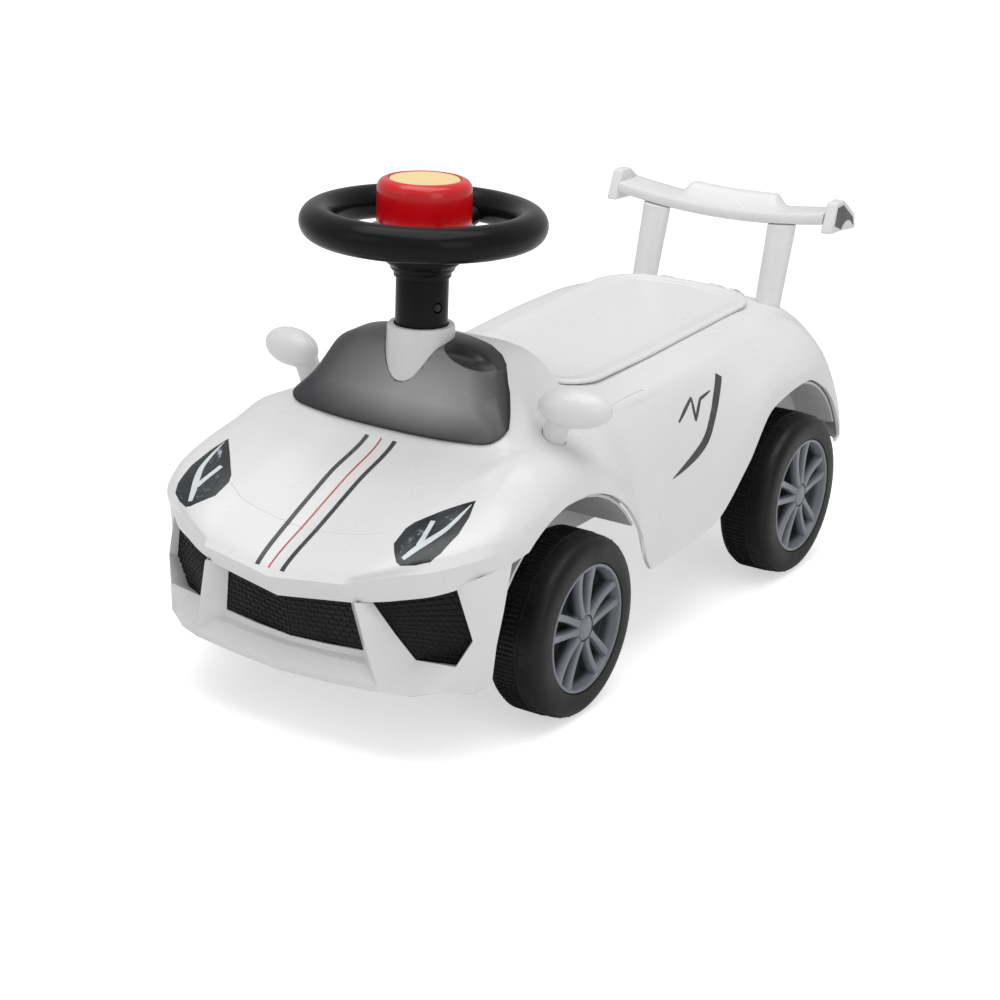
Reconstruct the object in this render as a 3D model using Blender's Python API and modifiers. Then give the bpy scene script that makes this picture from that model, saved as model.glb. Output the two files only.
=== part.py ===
"""Kids ride-on car: body shell, bumper, seat lid, spoiler, steering and four wheels.

The car faces -Y, +X is its left side, and the tyres stand on z = 0.
Sizes are written in millimetres and turned into metres by mm().
"""
import math

import bmesh
import bpy
from mathutils import Matrix, Vector

# Driving dimensions, in millimetres
MIDDLE_Y = 3.1           # middle of the wheelbase, behind the middle of the length
WHEELBASE_HALF = 166.0
TYRE_RADIUS = 65.0
TYRE_WIDTH = 42.0
TRACK_OUTER = 147.0      # outer face of each tyre from the middle
HUB_RADIUS = 45.5
BODY_HALF = 135.0        # half width of the body at the wheel arches
WALL = 2.5               # moulded wall
GAP = 0.3                # between pieces that touch
COLUMN_TILT = 1.0        # degrees, towards the driver
COLUMN_Y = -158.0        # where the column leaves the collar
COLLAR_TOP = 253.0
WHEEL_RING_Z = 323.0
WHEEL_RING_RADIUS = 72.5
WHEEL_TUBE_RADIUS = 12.0
BUTTON_RADIUS = 32.5
BUTTON_TOP = 353.0
BUTTON_TRAVEL = 3.0
KINGPIN_X = 84.0
STEERING_ARM = 38.0
AXLE_RADIUS = 4.0
ROD_RADIUS = 5.0
ARCH_FRONT = (-166.0, 51.0, 105.0)   # y, z, radius of the wheel arch
ARCH_REAR = (168.0, 62.0, 93.0)
SIDES = {"left": 1.0, "right": -1.0}


def mm(x, y, z):
    return Vector((x / 1000.0, (y + MIDDLE_Y) / 1000.0, z / 1000.0))


def clear_scene():
    for item in list(bpy.data.objects):
        bpy.data.objects.remove(item, do_unlink=True)


clear_scene()
PARTS = bpy.data.collections.new("ride_on_car")
CUTTERS = bpy.data.collections.new("cutters")
bpy.context.scene.collection.children.link(PARTS)
bpy.context.scene.collection.children.link(CUTTERS)


# Materials

def plastic(name, colour, roughness, metallic=0.0):
    material = bpy.data.materials.new(name)
    material.use_nodes = True
    shader = material.node_tree.nodes["Principled BSDF"]
    shader.inputs["Base Color"].default_value = (*colour, 1.0)
    shader.inputs["Roughness"].default_value = roughness
    shader.inputs["Metallic"].default_value = metallic
    return material


WHITE = plastic("white_plastic", (0.80, 0.80, 0.80), 0.35)
BLACK = plastic("black_plastic", (0.012, 0.012, 0.012), 0.45)
MESH_BLACK = plastic("grille_black", (0.010, 0.010, 0.011), 0.6)
TYRE_BLACK = plastic("tyre_black", (0.014, 0.014, 0.014), 0.55)
HUB_GREY = plastic("hub_grey", (0.14, 0.145, 0.16), 0.35)
RED = plastic("button_red", (0.60, 0.008, 0.012), 0.25)
TAN = plastic("badge_tan", (0.85, 0.58, 0.22), 0.4)
SMOKED = plastic("smoked_panel", (0.10, 0.10, 0.11), 0.2)
SILVER = plastic("silver_plate", (0.70, 0.71, 0.72), 0.3, 1.0)
STEEL = plastic("zinc_steel", (0.55, 0.55, 0.56), 0.35, 1.0)


# Object and mesh helpers

def add_object(name, mesh, material=None, smooth=True):
    item = bpy.data.objects.new(name, mesh)
    PARTS.objects.link(item)
    if material is not None:
        mesh.materials.append(material)
    if smooth:
        mesh.shade_smooth()
        mesh.set_sharp_from_angle(angle=math.radians(35))
    return item


def mesh_from(points, faces, name):
    mesh = bpy.data.meshes.new(name)
    mesh.from_pydata([tuple(point) for point in points], [], faces)
    mesh.update()
    return mesh


def as_cutter(item):
    item.hide_render = True
    item.display_type = 'WIRE'
    for collection in list(item.users_collection):
        collection.objects.unlink(item)
    CUTTERS.objects.link(item)
    return item


def boolean(item, other, operation='DIFFERENCE'):
    modifier = item.modifiers.new("cut_" + other.name, 'BOOLEAN')
    modifier.operation = operation
    modifier.solver = 'EXACT'
    modifier.object = other
    return modifier


def apply_all(item):
    bpy.context.view_layer.update()
    evaluated = item.evaluated_get(bpy.context.evaluated_depsgraph_get())
    mesh = bpy.data.meshes.new_from_object(evaluated)
    item.modifiers.clear()
    item.data = mesh
    return item


def join_solids(name, solids, material):
    """Unite separate closed solids, already in place, into one piece."""
    first = solids[0]
    for other in solids[1:]:
        boolean(first, other, 'UNION')
    apply_all(first)
    for other in solids[1:]:
        bpy.data.objects.remove(other, do_unlink=True)
    first.name = name
    first.data.materials.clear()
    first.data.materials.append(material)
    first.data.shade_smooth()
    first.data.set_sharp_from_angle(angle=math.radians(35))
    return first


def block(name, low, high, material=None, round_edge=0.0):
    """A box between two corners given in millimetres."""
    low_corner = mm(*low)
    high_corner = mm(*high)
    shape = bmesh.new()
    bmesh.ops.create_cube(shape, size=1.0)
    size = high_corner - low_corner
    centre = (high_corner + low_corner) / 2
    bmesh.ops.scale(shape, vec=size, verts=shape.verts)
    mesh = bpy.data.meshes.new(name)
    shape.to_mesh(mesh)
    shape.free()
    item = add_object(name, mesh, material, smooth=False)
    item.location = centre
    if round_edge > 0:
        bevel = item.modifiers.new("edges", 'BEVEL')
        bevel.width = round_edge / 1000.0
        bevel.segments = 2
    return item


def rod(name, start, end, radius, material=None, sides=20, end_radius=None):
    """A round bar between two points given in millimetres."""
    foot = mm(*start)
    tip = mm(*end)
    axis = tip - foot
    tip_radius = radius if end_radius is None else end_radius
    shape = bmesh.new()
    bmesh.ops.create_cone(shape, cap_ends=True, segments=sides, radius1=radius / 1000.0,
                          radius2=tip_radius / 1000.0, depth=axis.length)
    mesh = bpy.data.meshes.new(name)
    shape.to_mesh(mesh)
    shape.free()
    item = add_object(name, mesh, material)
    turn = axis.to_track_quat('Z', 'Y').to_matrix().to_4x4()
    item.matrix_world = Matrix.Translation((foot + tip) / 2) @ turn
    return item


def turned(name, profile, material, place, axis=Vector((0, 0, 1)), steps=32, closed=False):
    """Revolve a profile of (radius, height) in millimetres, listed top to bottom outside."""
    points = [(radius / 1000.0, 0.0, height / 1000.0) for radius, height in profile]
    edges = [(i, i + 1) for i in range(len(points) - 1)]
    if closed:
        edges.append((len(points) - 1, 0))
    mesh = bpy.data.meshes.new(name)
    mesh.from_pydata(points, edges, [])
    item = add_object(name, mesh, material, smooth=False)
    screw = item.modifiers.new("turn", 'SCREW')
    screw.axis = 'Z'
    screw.steps = steps
    screw.render_steps = steps
    screw.use_merge_vertices = True
    screw.merge_threshold = 0.0001
    screw.use_smooth_shade = True
    item.matrix_world = Matrix.Translation(place) @ axis.to_track_quat('Z', 'Y').to_matrix().to_4x4()
    return item


def extruded(name, outline, low, high, across, material=None):
    """A flat outline of (a, b) pushed between two heights along the axis called across."""
    order = {'X': lambda a, b, h: mm(h, a, b), 'Y': lambda a, b, h: mm(a, h, b),
             'Z': lambda a, b, h: mm(a, b, h)}[across]
    count = len(outline)
    points = [order(a, b, low) for a, b in outline] + [order(a, b, high) for a, b in outline]
    faces = [tuple(range(count)), tuple(range(count, 2 * count))]
    for i in range(count):
        j = (i + 1) % count
        faces.append((i, j, count + j, count + i))
    shape = bmesh.new()
    corners = [shape.verts.new(point) for point in points]
    for face in faces:
        shape.faces.new([corners[i] for i in face])
    bmesh.ops.recalc_face_normals(shape, faces=shape.faces)
    mesh = bpy.data.meshes.new(name)
    shape.to_mesh(mesh)
    shape.free()
    return add_object(name, mesh, material, smooth=False)


def rounded_rectangle(half_x, y_front, y_rear, corner, steps=5):
    """Outline in plan, anticlockwise from above."""
    outline = []
    centres = ((half_x - corner, y_rear - corner, 0), (-half_x + corner, y_rear - corner, 90),
               (-half_x + corner, y_front + corner, 180), (half_x - corner, y_front + corner, 270))
    for centre_x, centre_y, start in centres:
        for step in range(steps + 1):
            angle = math.radians(start + 90.0 * step / steps)
            outline.append((centre_x + corner * math.cos(angle), centre_y + corner * math.sin(angle)))
    return outline


# The body surface: rows of control points from nose to tail, each from the middle to the rim

SWEEP_POWER = 1.8
NOSE_POWER = 2.2
BOW_HALF = 72.0          # the rear end of the seat block is bowed within this


def arch_rim(arch, degrees):
    centre_y, centre_z, radius = arch
    angle = math.radians(degrees)
    return centre_y + radius * math.cos(angle), centre_z + radius * math.sin(angle)


def body_row(y_middle, rim, section, power=SWEEP_POWER, bow=0.0):
    """One row: section holds (x, z) out to the flank, rim is (x, y, z) of the lower edge."""
    last = len(section)
    row = []
    for index, (x, z) in enumerate(section):
        weight = (index / last) ** power
        curve = bow * max(0.0, 1.0 - (x / BOW_HALF) ** 2)
        row.append((x, y_middle + curve + (rim[1] - y_middle) * weight, z))
    row.append(rim)
    return row


def front_rim(degrees):
    y, z = arch_rim(ARCH_FRONT, degrees)
    return (BODY_HALF, y, z)


def rear_rim(degrees):
    y, z = arch_rim(ARCH_REAR, degrees)
    return (BODY_HALF, y, z)


def body_rows():
    return [
        # lower and upper edge of the nose lip
        body_row(-318, front_rim(125), [(0, 104), (30, 107), (57, 112), (73, 114), (89, 117),
                                        (106, 121), (119, 125.5), (129.5, 130.5), (134.5, 135)], NOSE_POWER),
        body_row(-327, front_rim(120), [(0, 120), (30, 122.5), (57, 127), (75, 132), (92, 136),
                                        (110, 140), (123, 143.5), (132, 145.5), (136, 145.5)], NOSE_POWER),
        body_row(-321, front_rim(115), [(0, 125), (30, 127.5), (57, 132.5), (74, 138), (90, 143),
                                        (109, 148), (122, 151), (131.5, 152.5), (135.8, 151)], NOSE_POWER),
        # bonnet
        body_row(-285, front_rim(106), [(0, 143), (30, 146), (57, 151.5), (73, 156), (89, 160.5),
                                        (106, 164), (121, 164.5), (131, 162), (135.3, 158)], 2.0),
        body_row(-245, front_rim(96), [(0, 163), (31, 165.5), (59, 170), (75, 173), (91, 175.5),
                                       (106, 176), (119, 174), (128.5, 170), (133.5, 164)]),
        # foot of the windscreen
        body_row(-203, front_rim(84), [(0, 183), (31, 184.5), (60, 187), (86, 188.3), (98, 188),
                                       (109, 186.5), (120, 182), (129, 175), (134, 166)]),
        body_row(-200, front_rim(81), [(0, 187), (31, 188.5), (59, 190.5), (85, 191), (97, 189),
                                       (108, 187), (120, 182), (129, 175), (134, 166)]),
        # middle and top of the windscreen
        body_row(-184, front_rim(67), [(0, 214), (30, 214.5), (56, 214.5), (73, 211), (86, 200),
                                       (103, 188), (118, 182), (128.5, 174), (134, 162)]),
        body_row(-168, front_rim(53), [(0, 240), (30, 240), (50, 238.5), (64, 233), (79, 212),
                                       (99, 189), (115, 181), (127.5, 170), (133.5, 152)]),
        # scuttle, falling to the seat
        body_row(-150, front_rim(40), [(0, 244), (30, 243), (50, 240), (63, 233), (79, 209),
                                       (97, 188), (113, 178), (126, 162), (133, 138)]),
        body_row(-110, front_rim(27), [(0, 236), (28, 236), (48, 233.5), (62, 226), (81, 203),
                                       (95, 186), (111, 172), (124, 150), (132, 122)]),
        body_row(-84, front_rim(16), [(0, 206), (28, 206), (50, 204.5), (65, 199), (86, 188),
                                      (95, 181.5), (109, 165), (122, 138), (131, 106)]),
        # seat block: flat ledge under the lid, wall down to the shoulder line
        body_row(-52, (BODY_HALF, -56, 71), [(0, 191), (30, 191), (56, 190.5), (65, 189.5), (90, 183.5),
                                             (95, 179), (108, 160), (121, 132), (131, 100)]),
        body_row(40, (BODY_HALF, 34, 76), [(0, 192.5), (30, 192.5), (60, 192.5), (69, 191.5), (94, 186),
                                           (99, 181.5), (111, 160), (123, 131), (132, 102)]),
        body_row(95, rear_rim(150), [(0, 195), (30, 195), (62, 195), (71, 194), (95, 189),
                                     (101, 185), (115, 168), (127, 148), (133.5, 129)]),
        body_row(140, rear_rim(115), [(0, 197), (30, 197), (63, 197), (72, 196), (96, 190.5),
                                      (102, 187), (118, 176), (129.5, 165), (134, 156)]),
        body_row(185, rear_rim(80), [(0, 199), (30, 199), (62, 199), (71, 198), (95, 191.5),
                                     (103, 187.5), (119, 178), (130, 167), (134.5, 159.5)]),
        body_row(222, rear_rim(56), [(0, 200.6), (30, 200.3), (54, 199.5), (65, 198), (89, 190.5),
                                     (103, 186), (119, 175), (129.5, 163), (134.5, 151)], SWEEP_POWER, 16),
        # rear deck and tail
        body_row(232, rear_rim(46), [(0, 191), (30, 191), (56, 190.5), (70, 190), (88, 188),
                                     (102, 183), (118, 171.5), (129, 157), (134.3, 143)], SWEEP_POWER, 13),
        body_row(266, rear_rim(32), [(0, 190), (30, 190), (56, 188.5), (71, 185.5), (86, 179.5),
                                     (100, 170), (114, 156), (124.5, 140), (131.5, 124)]),
        body_row(283, rear_rim(23), [(0, 177), (30, 176.5), (57, 174), (73, 169.5), (87, 162),
                                     (101, 151.5), (114, 138.5), (124.5, 124), (131.5, 110)]),
        body_row(292, rear_rim(17), [(0, 130), (30, 130), (58, 128), (74, 125), (88, 120.5),
                                     (102, 114.5), (115, 107.5), (125, 100.5), (131.5, 94.5)]),
        body_row(288, (BODY_HALF - 1.5, 252, 84), [(0, 84), (30, 84), (58, 84), (74, 84), (88, 84),
                                                   (102, 84), (115, 84), (125, 84), (131, 84)]),
    ]


def slope(before, after, gap_before, gap_after):
    """Slope at a point that never overshoots its neighbours."""
    if before * after <= 0:
        return 0.0
    heavy = 2 * gap_after + gap_before
    light = gap_after + 2 * gap_before
    return (heavy + light) / (heavy / before + light / after)


def smooth_line(points, steps):
    """A curve through the points, with the same number of steps in each span."""
    places = [0.0]
    for first, second in zip(points, points[1:]):
        places.append(places[-1] + max(1e-6, (Vector(second) - Vector(first)).length))
    gaps = [b - a for a, b in zip(places, places[1:])]
    columns = []
    for axis in range(3):
        values = [point[axis] for point in points]
        rises = [(b - a) / gap for a, b, gap in zip(values, values[1:], gaps)]
        slopes = [rises[0]]
        for i in range(1, len(values) - 1):
            slopes.append(slope(rises[i - 1], rises[i], gaps[i - 1], gaps[i]))
        slopes.append(rises[-1])
        line = []
        for i, gap in enumerate(gaps):
            for step in range(steps):
                t = step / steps
                line.append((1 + 2 * t) * (1 - t) ** 2 * values[i] + t * (1 - t) ** 2 * gap * slopes[i]
                            + t * t * (3 - 2 * t) * values[i + 1]
                            + t * t * (t - 1) * gap * slopes[i + 1])
        line.append(values[-1])
        columns.append(line)
    return [tuple(column[i] for column in columns) for i in range(len(columns[0]))]


def surface_grid(rows, along, across):
    """Points of the loft: along steps between rows, across steps between columns."""
    wide = [smooth_line(row, across) for row in rows]
    lines = [smooth_line([row[i] for row in wide], along) for i in range(len(wide[0]))]
    return [[line[i] for line in lines] for i in range(len(lines[0]))]


def sheet_from_grid(name, grid, material, keep=None, mirrored=True):
    """An open sheet through a grid of points, mirrored across the middle."""
    columns = len(grid[0])
    points = [mm(*point) for row in grid for point in row]
    faces = []
    for i in range(len(grid) - 1):
        for j in range(columns - 1):
            if keep is None or keep(i, j):
                first = i * columns + j
                faces.append((first, first + 1, first + columns + 1, first + columns))
    mesh = mesh_from(points, faces, name)
    shape = bmesh.new()
    shape.from_mesh(mesh)
    loose = [vert for vert in shape.verts if not vert.link_faces]
    bmesh.ops.delete(shape, geom=loose, context='VERTS')
    shape.to_mesh(mesh)
    shape.free()
    item = add_object(name, mesh, material)
    if mirrored:
        mirror = item.modifiers.new("other_half", 'MIRROR')
        mirror.use_mirror_merge = True
        mirror.merge_threshold = 0.0001
    return item


def thicken(item, thickness, offset=-1.0):
    solid = item.modifiers.new("wall", 'SOLIDIFY')
    solid.thickness = thickness / 1000.0
    solid.offset = offset
    solid.use_even_offset = True
    return item


# Body shell

BODY_GRID = surface_grid(body_rows(), 2, 1)


def make_body_shell():
    shell = sheet_from_grid("body_shell", BODY_GRID, WHITE)
    thicken(shell, WALL)
    return shell


body_shell = make_body_shell()


# Windscreen: a thin smoked panel on the slope of the scuttle

WINDSCREEN_FIRST = 12    # first row of the body grid under the panel
WINDSCREEN_COLUMNS = [   # columns of the body grid that each row of the panel takes
    (0.0, 1.0, 2.0, 3.0, 3.30),
    (0.0, 1.0, 2.0, 3.0, 3.60),
    (0.0, 1.0, 2.0, 3.0, 3.68),
    (0.0, 1.0, 2.0, 3.0, 3.50),
    (0.0, 1.0, 2.0, 3.0, 3.20),
    (0.0, 1.0, 2.0, 2.4, 2.70),
]
WINDSCREEN_GAP = 1.2


def grid_normal(grid, i, j):
    before = Vector(grid[max(i - 1, 0)][j])
    after = Vector(grid[min(i + 1, len(grid) - 1)][j])
    if j == 0:
        aside = Vector((1, 0, 0))
    else:
        inner = Vector(grid[i][j - 1])
        outer = Vector(grid[i][min(j + 1, len(grid[0]) - 1)])
        aside = outer - inner
    return aside.cross(after - before).normalized()


def raised_point(i, column):
    """Point just above the body at a row and a whole or part column of its grid."""
    inner = int(column)
    part = column - inner
    point = Vector(BODY_GRID[i][inner]) + grid_normal(BODY_GRID, i, inner) * WINDSCREEN_GAP
    if part > 0:
        outer = Vector(BODY_GRID[i][inner + 1]) + grid_normal(BODY_GRID, i, inner + 1) * WINDSCREEN_GAP
        point = point.lerp(outer, part)
    if column == 0:
        point.x = 0.0
    return tuple(point)


def make_windscreen():
    rows = []
    for step, columns in enumerate(WINDSCREEN_COLUMNS):
        rows.append([raised_point(WINDSCREEN_FIRST + step, column) for column in columns])
    panel = sheet_from_grid("windscreen_panel", rows, SMOKED)
    thicken(panel, 1.2, 1.0)
    return panel


windscreen = make_windscreen()


# Steering axis, from the ground to the horn button

def on_column(height):
    """Point of the steering axis at a height, in millimetres."""
    lean = math.tan(math.radians(COLUMN_TILT))
    return (0.0, COLUMN_Y + (height - COLLAR_TOP) * lean, height)


COLUMN_AXIS = Vector((0, math.sin(math.radians(COLUMN_TILT)), math.cos(math.radians(COLUMN_TILT))))


def on_axis(name, profile, material, steps=32):
    """Turn a profile about the steering axis; heights count from the ground along it."""
    hollow = profile[0][0] > 0
    return turned(name, profile, material, mm(*on_column(0.0)), COLUMN_AXIS, steps, hollow)


COLLAR_BOTTOM = 206.0
COLUMN_RADIUS = 18.2
collar = on_axis("steering_collar", [(19.0, COLLAR_TOP), (22.5, COLLAR_TOP), (23.5, COLLAR_TOP - 2),
                                     (25.5, COLLAR_BOTTOM), (19.0, COLLAR_BOTTOM)], WHITE)
collar_hole = as_cutter(on_axis("collar_hole", [(0.0, COLLAR_TOP + 12), (23.9, COLLAR_TOP + 12),
                                                (23.9, COLLAR_TOP - 2), (25.9, COLLAR_BOTTOM),
                                                (25.9, COLLAR_BOTTOM - 20), (0.0, COLLAR_BOTTOM - 20)],
                                None))
boolean(body_shell, collar_hole)
boolean(windscreen, collar_hole)

column = on_axis("steering_column", [(COLUMN_RADIUS - 3, 296), (COLUMN_RADIUS, 296),
                                     (COLUMN_RADIUS, 196), (ROD_RADIUS + GAP, 196), (ROD_RADIUS + GAP, 200),
                                     (COLUMN_RADIUS - 3, 200)], BLACK, 24)


def ring_profile(centre_radius, height, radius, count):
    points = []
    for i in range(count):
        angle = math.pi / 2 - 2 * math.pi * i / count
        points.append((centre_radius + radius * math.cos(angle), height + radius * math.sin(angle)))
    return points


def make_steering_wheel():
    ring = on_axis("ring", ring_profile(WHEEL_RING_RADIUS, WHEEL_RING_Z, WHEEL_TUBE_RADIUS, 12), BLACK, 36)
    sleeve = COLUMN_RADIUS + GAP
    spigot = COLUMN_RADIUS - 3 - GAP
    hub = on_axis("hub", [(38.0, 317), (37.0, 311), (27.5, 300), (22.5, 293), (19.8, 286), (sleeve, 286),
                          (sleeve, 296 + GAP), (spigot, 296 + GAP), (spigot, 256), (11.5, 256), (11.5, 300),
                          (23.0, 300), (23.0, 309), (35.0, 314), (35.0, 317)], BLACK, 24)
    spokes = []
    for index in range(3):
        angle = math.radians(90 + 120 * index)
        out = Vector((math.cos(angle), math.sin(angle), 0))
        inner = Vector(on_column(308.5)) + out * 32
        outer = Vector(on_column(319)) + out * (WHEEL_RING_RADIUS - 3)
        spokes.append(rod("spoke_%d" % index, inner, outer, 5.5, BLACK, 10))
    return join_solids("steering_wheel", [ring, hub] + spokes, BLACK)


steering_wheel = make_steering_wheel()

plate = on_axis("horn_plate", [(6.6, 319.5), (35.5, 319.5), (36.5, 318.5), (36.5, 317.3),
                               (6.6, 317.3)], SILVER, 28)
SOUND_BOX_TOP = 311.0
STEM_END = SOUND_BOX_TOP + BUTTON_TRAVEL + 0.5
button = on_axis("horn_button", [(0.0, 351.5), (24.6, 351.5), (24.6, BUTTON_TOP), (28.0, BUTTON_TOP - 0.6),
                                 (31.2, BUTTON_TOP - 3), (BUTTON_RADIUS, BUTTON_TOP - 7),
                                 (BUTTON_RADIUS, 323.5), (29.5, 323.5), (29.5, 346), (6.0, 346),
                                 (6.0, STEM_END), (0.0, STEM_END)], RED, 28)
badge = on_axis("horn_badge", [(0.0, 352.6), (24.0, 352.6), (24.0, 351.5 + GAP), (0.0, 351.5 + GAP)],
                TAN, 28)


def helix(radius, bottom, top, turns, per_turn):
    axis = COLUMN_AXIS
    side = Vector((1, 0, 0))
    front = axis.cross(side)
    points = []
    count = int(turns * per_turn)
    for i in range(count + 1):
        angle = 2 * math.pi * i / per_turn
        height = bottom + (top - bottom) * i / count
        centre = mm(*on_column(0.0)) + axis * (height / 1000.0)
        points.append(centre + (side * math.cos(angle) + front * math.sin(angle)) * (radius / 1000.0))
    return points


def make_spring():
    """Compression spring that lifts the horn button; 5 turns of 1 mm wire."""
    wire = bpy.data.curves.new("button_spring", 'CURVE')
    wire.dimensions = '3D'
    wire.bevel_depth = 0.0005
    wire.bevel_resolution = 1
    wire.use_fill_caps = True
    path = helix(8.5, 320.7, 344.8, 5, 9)
    line = wire.splines.new('POLY')
    line.points.add(len(path) - 1)
    for point, place in zip(line.points, path):
        point.co = (*place, 1.0)
    spring = bpy.data.objects.new("button_spring", wire)
    PARTS.objects.link(spring)
    wire.materials.append(STEEL)
    return spring


button_spring = make_spring()
sound_box = on_axis("sound_box", [(0.0, SOUND_BOX_TOP), (21.5, SOUND_BOX_TOP), (21.5, SOUND_BOX_TOP - 9),
                                  (0.0, SOUND_BOX_TOP - 9)], BLACK, 24)


def screw(name, head, direction, length=14.0):
    """Pan-head screw: head centre on the surface, shank along the direction."""
    way = Vector(direction).normalized()
    start = Vector(head)
    profile = [(0.0, 2.0), (2.6, 2.0), (3.4, 1.0), (3.4, 0.0), (1.5, 0.0), (1.5, -length), (0.0, -length)]
    return turned(name, profile, STEEL, mm(*start), -way, 12)


def column_screw(name, side):
    """Screw through the sleeve, sunk in a round recess on the sleeve's side."""
    way = Vector((side * math.cos(math.radians(18)), -math.sin(math.radians(18)), 0))
    seat = Vector(on_column(267.0)) + way * (COLUMN_RADIUS - 2.4)
    recess = rod("%s_recess" % name, seat, seat + way * 8, 3.9, None, 16)
    shank = rod("%s_hole" % name, seat - way * 9, seat + way * 3, 1.9, None, 12)
    for cutter in (recess, shank):
        boolean(column, as_cutter(cutter))
    boolean(steering_wheel, shank)
    return screw(name, seat + way * GAP, -way, 7.0)


screw_left = column_screw("column_screw_left", 1)
screw_right = column_screw("column_screw_right", -1)


# Seat lid over the storage bin

def line_at(points, y):
    """Value at y on a line of (y, value) pairs, straight between them."""
    for (y_first, first), (y_next, after) in zip(points, points[1:]):
        if y <= y_next:
            return first + (after - first) * (y - y_first) / (y_next - y_first)
    return points[-1][1]


LID_FRONT = -50.0
LID_REAR = 221.0         # at the sides; the middle is bowed back
LID_BOW = 15.5
LID_HALF = 69.5
LID_THICK = 4.2
LEDGE_LINE = [(-52.0, 191.0), (40.0, 192.5), (95.0, 195.0), (140.0, 197.0), (185.0, 199.0), (222.0, 200.2),
              (240.0, 200.8)]


def lid_outline(inset):
    """Plan of the lid moved in by inset: narrower at the front, bowed at the rear."""
    corners = rounded_rectangle(LID_HALF - inset, LID_FRONT + inset, LID_REAR - inset, 28 - inset * 0.5, 5)
    steps = 6
    first, last = corners[5], corners[6]
    between = [(first[0] + (last[0] - first[0]) * step / steps, first[1]) for step in range(1, steps)]
    outline = []
    for x, y in corners[:6] + between + corners[6:]:
        along = (y - LID_FRONT) / (LID_REAR - LID_FRONT)
        bow = LID_BOW * (1.0 - (x / LID_HALF) ** 2) * max(0.0, (along - 0.85) / 0.15)
        outline.append((x * (1.0 - 0.055 * (1.0 - along)), y + bow))
    return outline


def make_seat_lid():
    """Plate with a rounded outline, a stepped rim and a shallow dish, as rings from rim to middle."""
    rings = [(0.0, 0.6), (0.0, LID_THICK - 1.2), (1.2, LID_THICK), (6.5, LID_THICK), (7.5, LID_THICK - 0.9),
             (12.5, LID_THICK - 0.9), (13.5, LID_THICK - 1.8), (40.0, LID_THICK - 2.6)]
    points = []
    faces = []
    count = 0
    for inset, rise in rings:
        outline = lid_outline(inset)
        count = len(outline)
        for x, y in outline:
            points.append(mm(x, y, line_at(LEDGE_LINE, y) + rise))
    for ring in range(len(rings) - 1):
        for i in range(count):
            j = (i + 1) % count
            faces.append((ring * count + i, ring * count + j, (ring + 1) * count + j, (ring + 1) * count + i))
    last = (len(rings) - 1) * count
    faces.append(tuple(last + i for i in range(count)))
    faces.append(tuple(reversed(range(count))))
    mesh = mesh_from(points, faces, "seat_lid")
    shape = bmesh.new()
    shape.from_mesh(mesh)
    caps = [face for face in shape.faces if len(face.verts) > 4]
    bmesh.ops.triangulate(shape, faces=caps)
    bmesh.ops.recalc_face_normals(shape, faces=shape.faces)
    shape.to_mesh(mesh)
    shape.free()
    return add_object("seat_lid", mesh, WHITE)


seat_lid = make_seat_lid()

# The hinge stands behind the lid: two ears on the lid, two lugs on a bracket, one pin
HINGE_Y = 246.0
HINGE_Z = 197.0
PIN_RADIUS = 1.8
EAR_SIDE = [(229, 201.6), (229, 203.6), (237, 203.4), (245, 200.2), (248.2, 199.2), (249.2, 197),
            (248.2, 194.8), (244.5, 194.6), (239.0, 200.9)]
LUG_SIDE = [(243.2, 194.9), (243.2, 199.2), (248.5, 199.2), (258, 194.5), (258, 191.9), (250, 191.9)]


def make_lid_hinge():
    ears = [extruded("ear_" + name, EAR_SIDE, side * 22 - 4, side * 22 + 4, 'X')
            for name, side in SIDES.items()]
    lid = join_solids("seat_lid", [seat_lid] + ears, WHITE)
    foot = block("hinge_bracket", (-38, 251.5, 191.6), (38, 259, 193.6))
    lugs = [extruded("lug_" + name, LUG_SIDE, side * 33 - 3, side * 33 + 3, 'X')
            for name, side in SIDES.items()]
    bracket = join_solids("hinge_bracket", [foot] + lugs, WHITE)
    pin = rod("hinge_pin", (-38.5, HINGE_Y, HINGE_Z), (38.5, HINGE_Y, HINGE_Z), PIN_RADIUS, STEEL, 12)
    bore = as_cutter(rod("pin_bore", (-60, HINGE_Y, HINGE_Z), (60, HINGE_Y, HINGE_Z),
                         PIN_RADIUS + GAP, None, 12))
    boolean(lid, bore)
    boolean(bracket, bore)
    return lid, bracket, pin


seat_lid, hinge_bracket, hinge_pin = make_lid_hinge()
bin_mouth = as_cutter(extruded("bin_mouth", rounded_rectangle(54, -30, 198, 16), 150, 230, 'Z'))
boolean(body_shell, bin_mouth)


BIN_FLOOR = 91.6


def bin_side(inset, floor, clear):
    """Side view of the bin; its rim follows the underside of the ledge."""
    front = -28 + inset
    rear = 196 - inset
    rim = [(y, line_at(LEDGE_LINE, y) + clear) for y in (rear, 140.0, 95.0, 40.0, front)]
    return [(front, floor), (rear, floor)] + rim


def make_storage_bin():
    tray = extruded("storage_bin", bin_side(0.0, BIN_FLOOR, -WALL - 3 * GAP), -52, 52, 'X', WHITE)
    hollow = as_cutter(extruded("bin_hollow", bin_side(2.0, BIN_FLOOR + 2.0, 9.0), -50, 50, 'X'))
    boolean(tray, hollow)
    return tray


storage_bin = make_storage_bin()


# Front bumper with its grille and vents


def lip_point(x):
    """Lower edge of the nose lip at a distance from the middle."""
    line = smooth_line(body_rows()[0], 8)
    for first, after in zip(line, line[1:]):
        if x <= after[0]:
            part = (x - first[0]) / (after[0] - first[0])
            return first[1] + (after[1] - first[1]) * part, first[2] + (after[2] - first[2]) * part
    return line[-1][1], line[-1][2]


def bumper_top(x, drop, back):
    y, z = lip_point(x)
    return (x, y + back, z - drop)


BUMPER_TOP_X = (0, 27, 51, 58, 65, 84, 102, 120, 131, 134.9)


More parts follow.
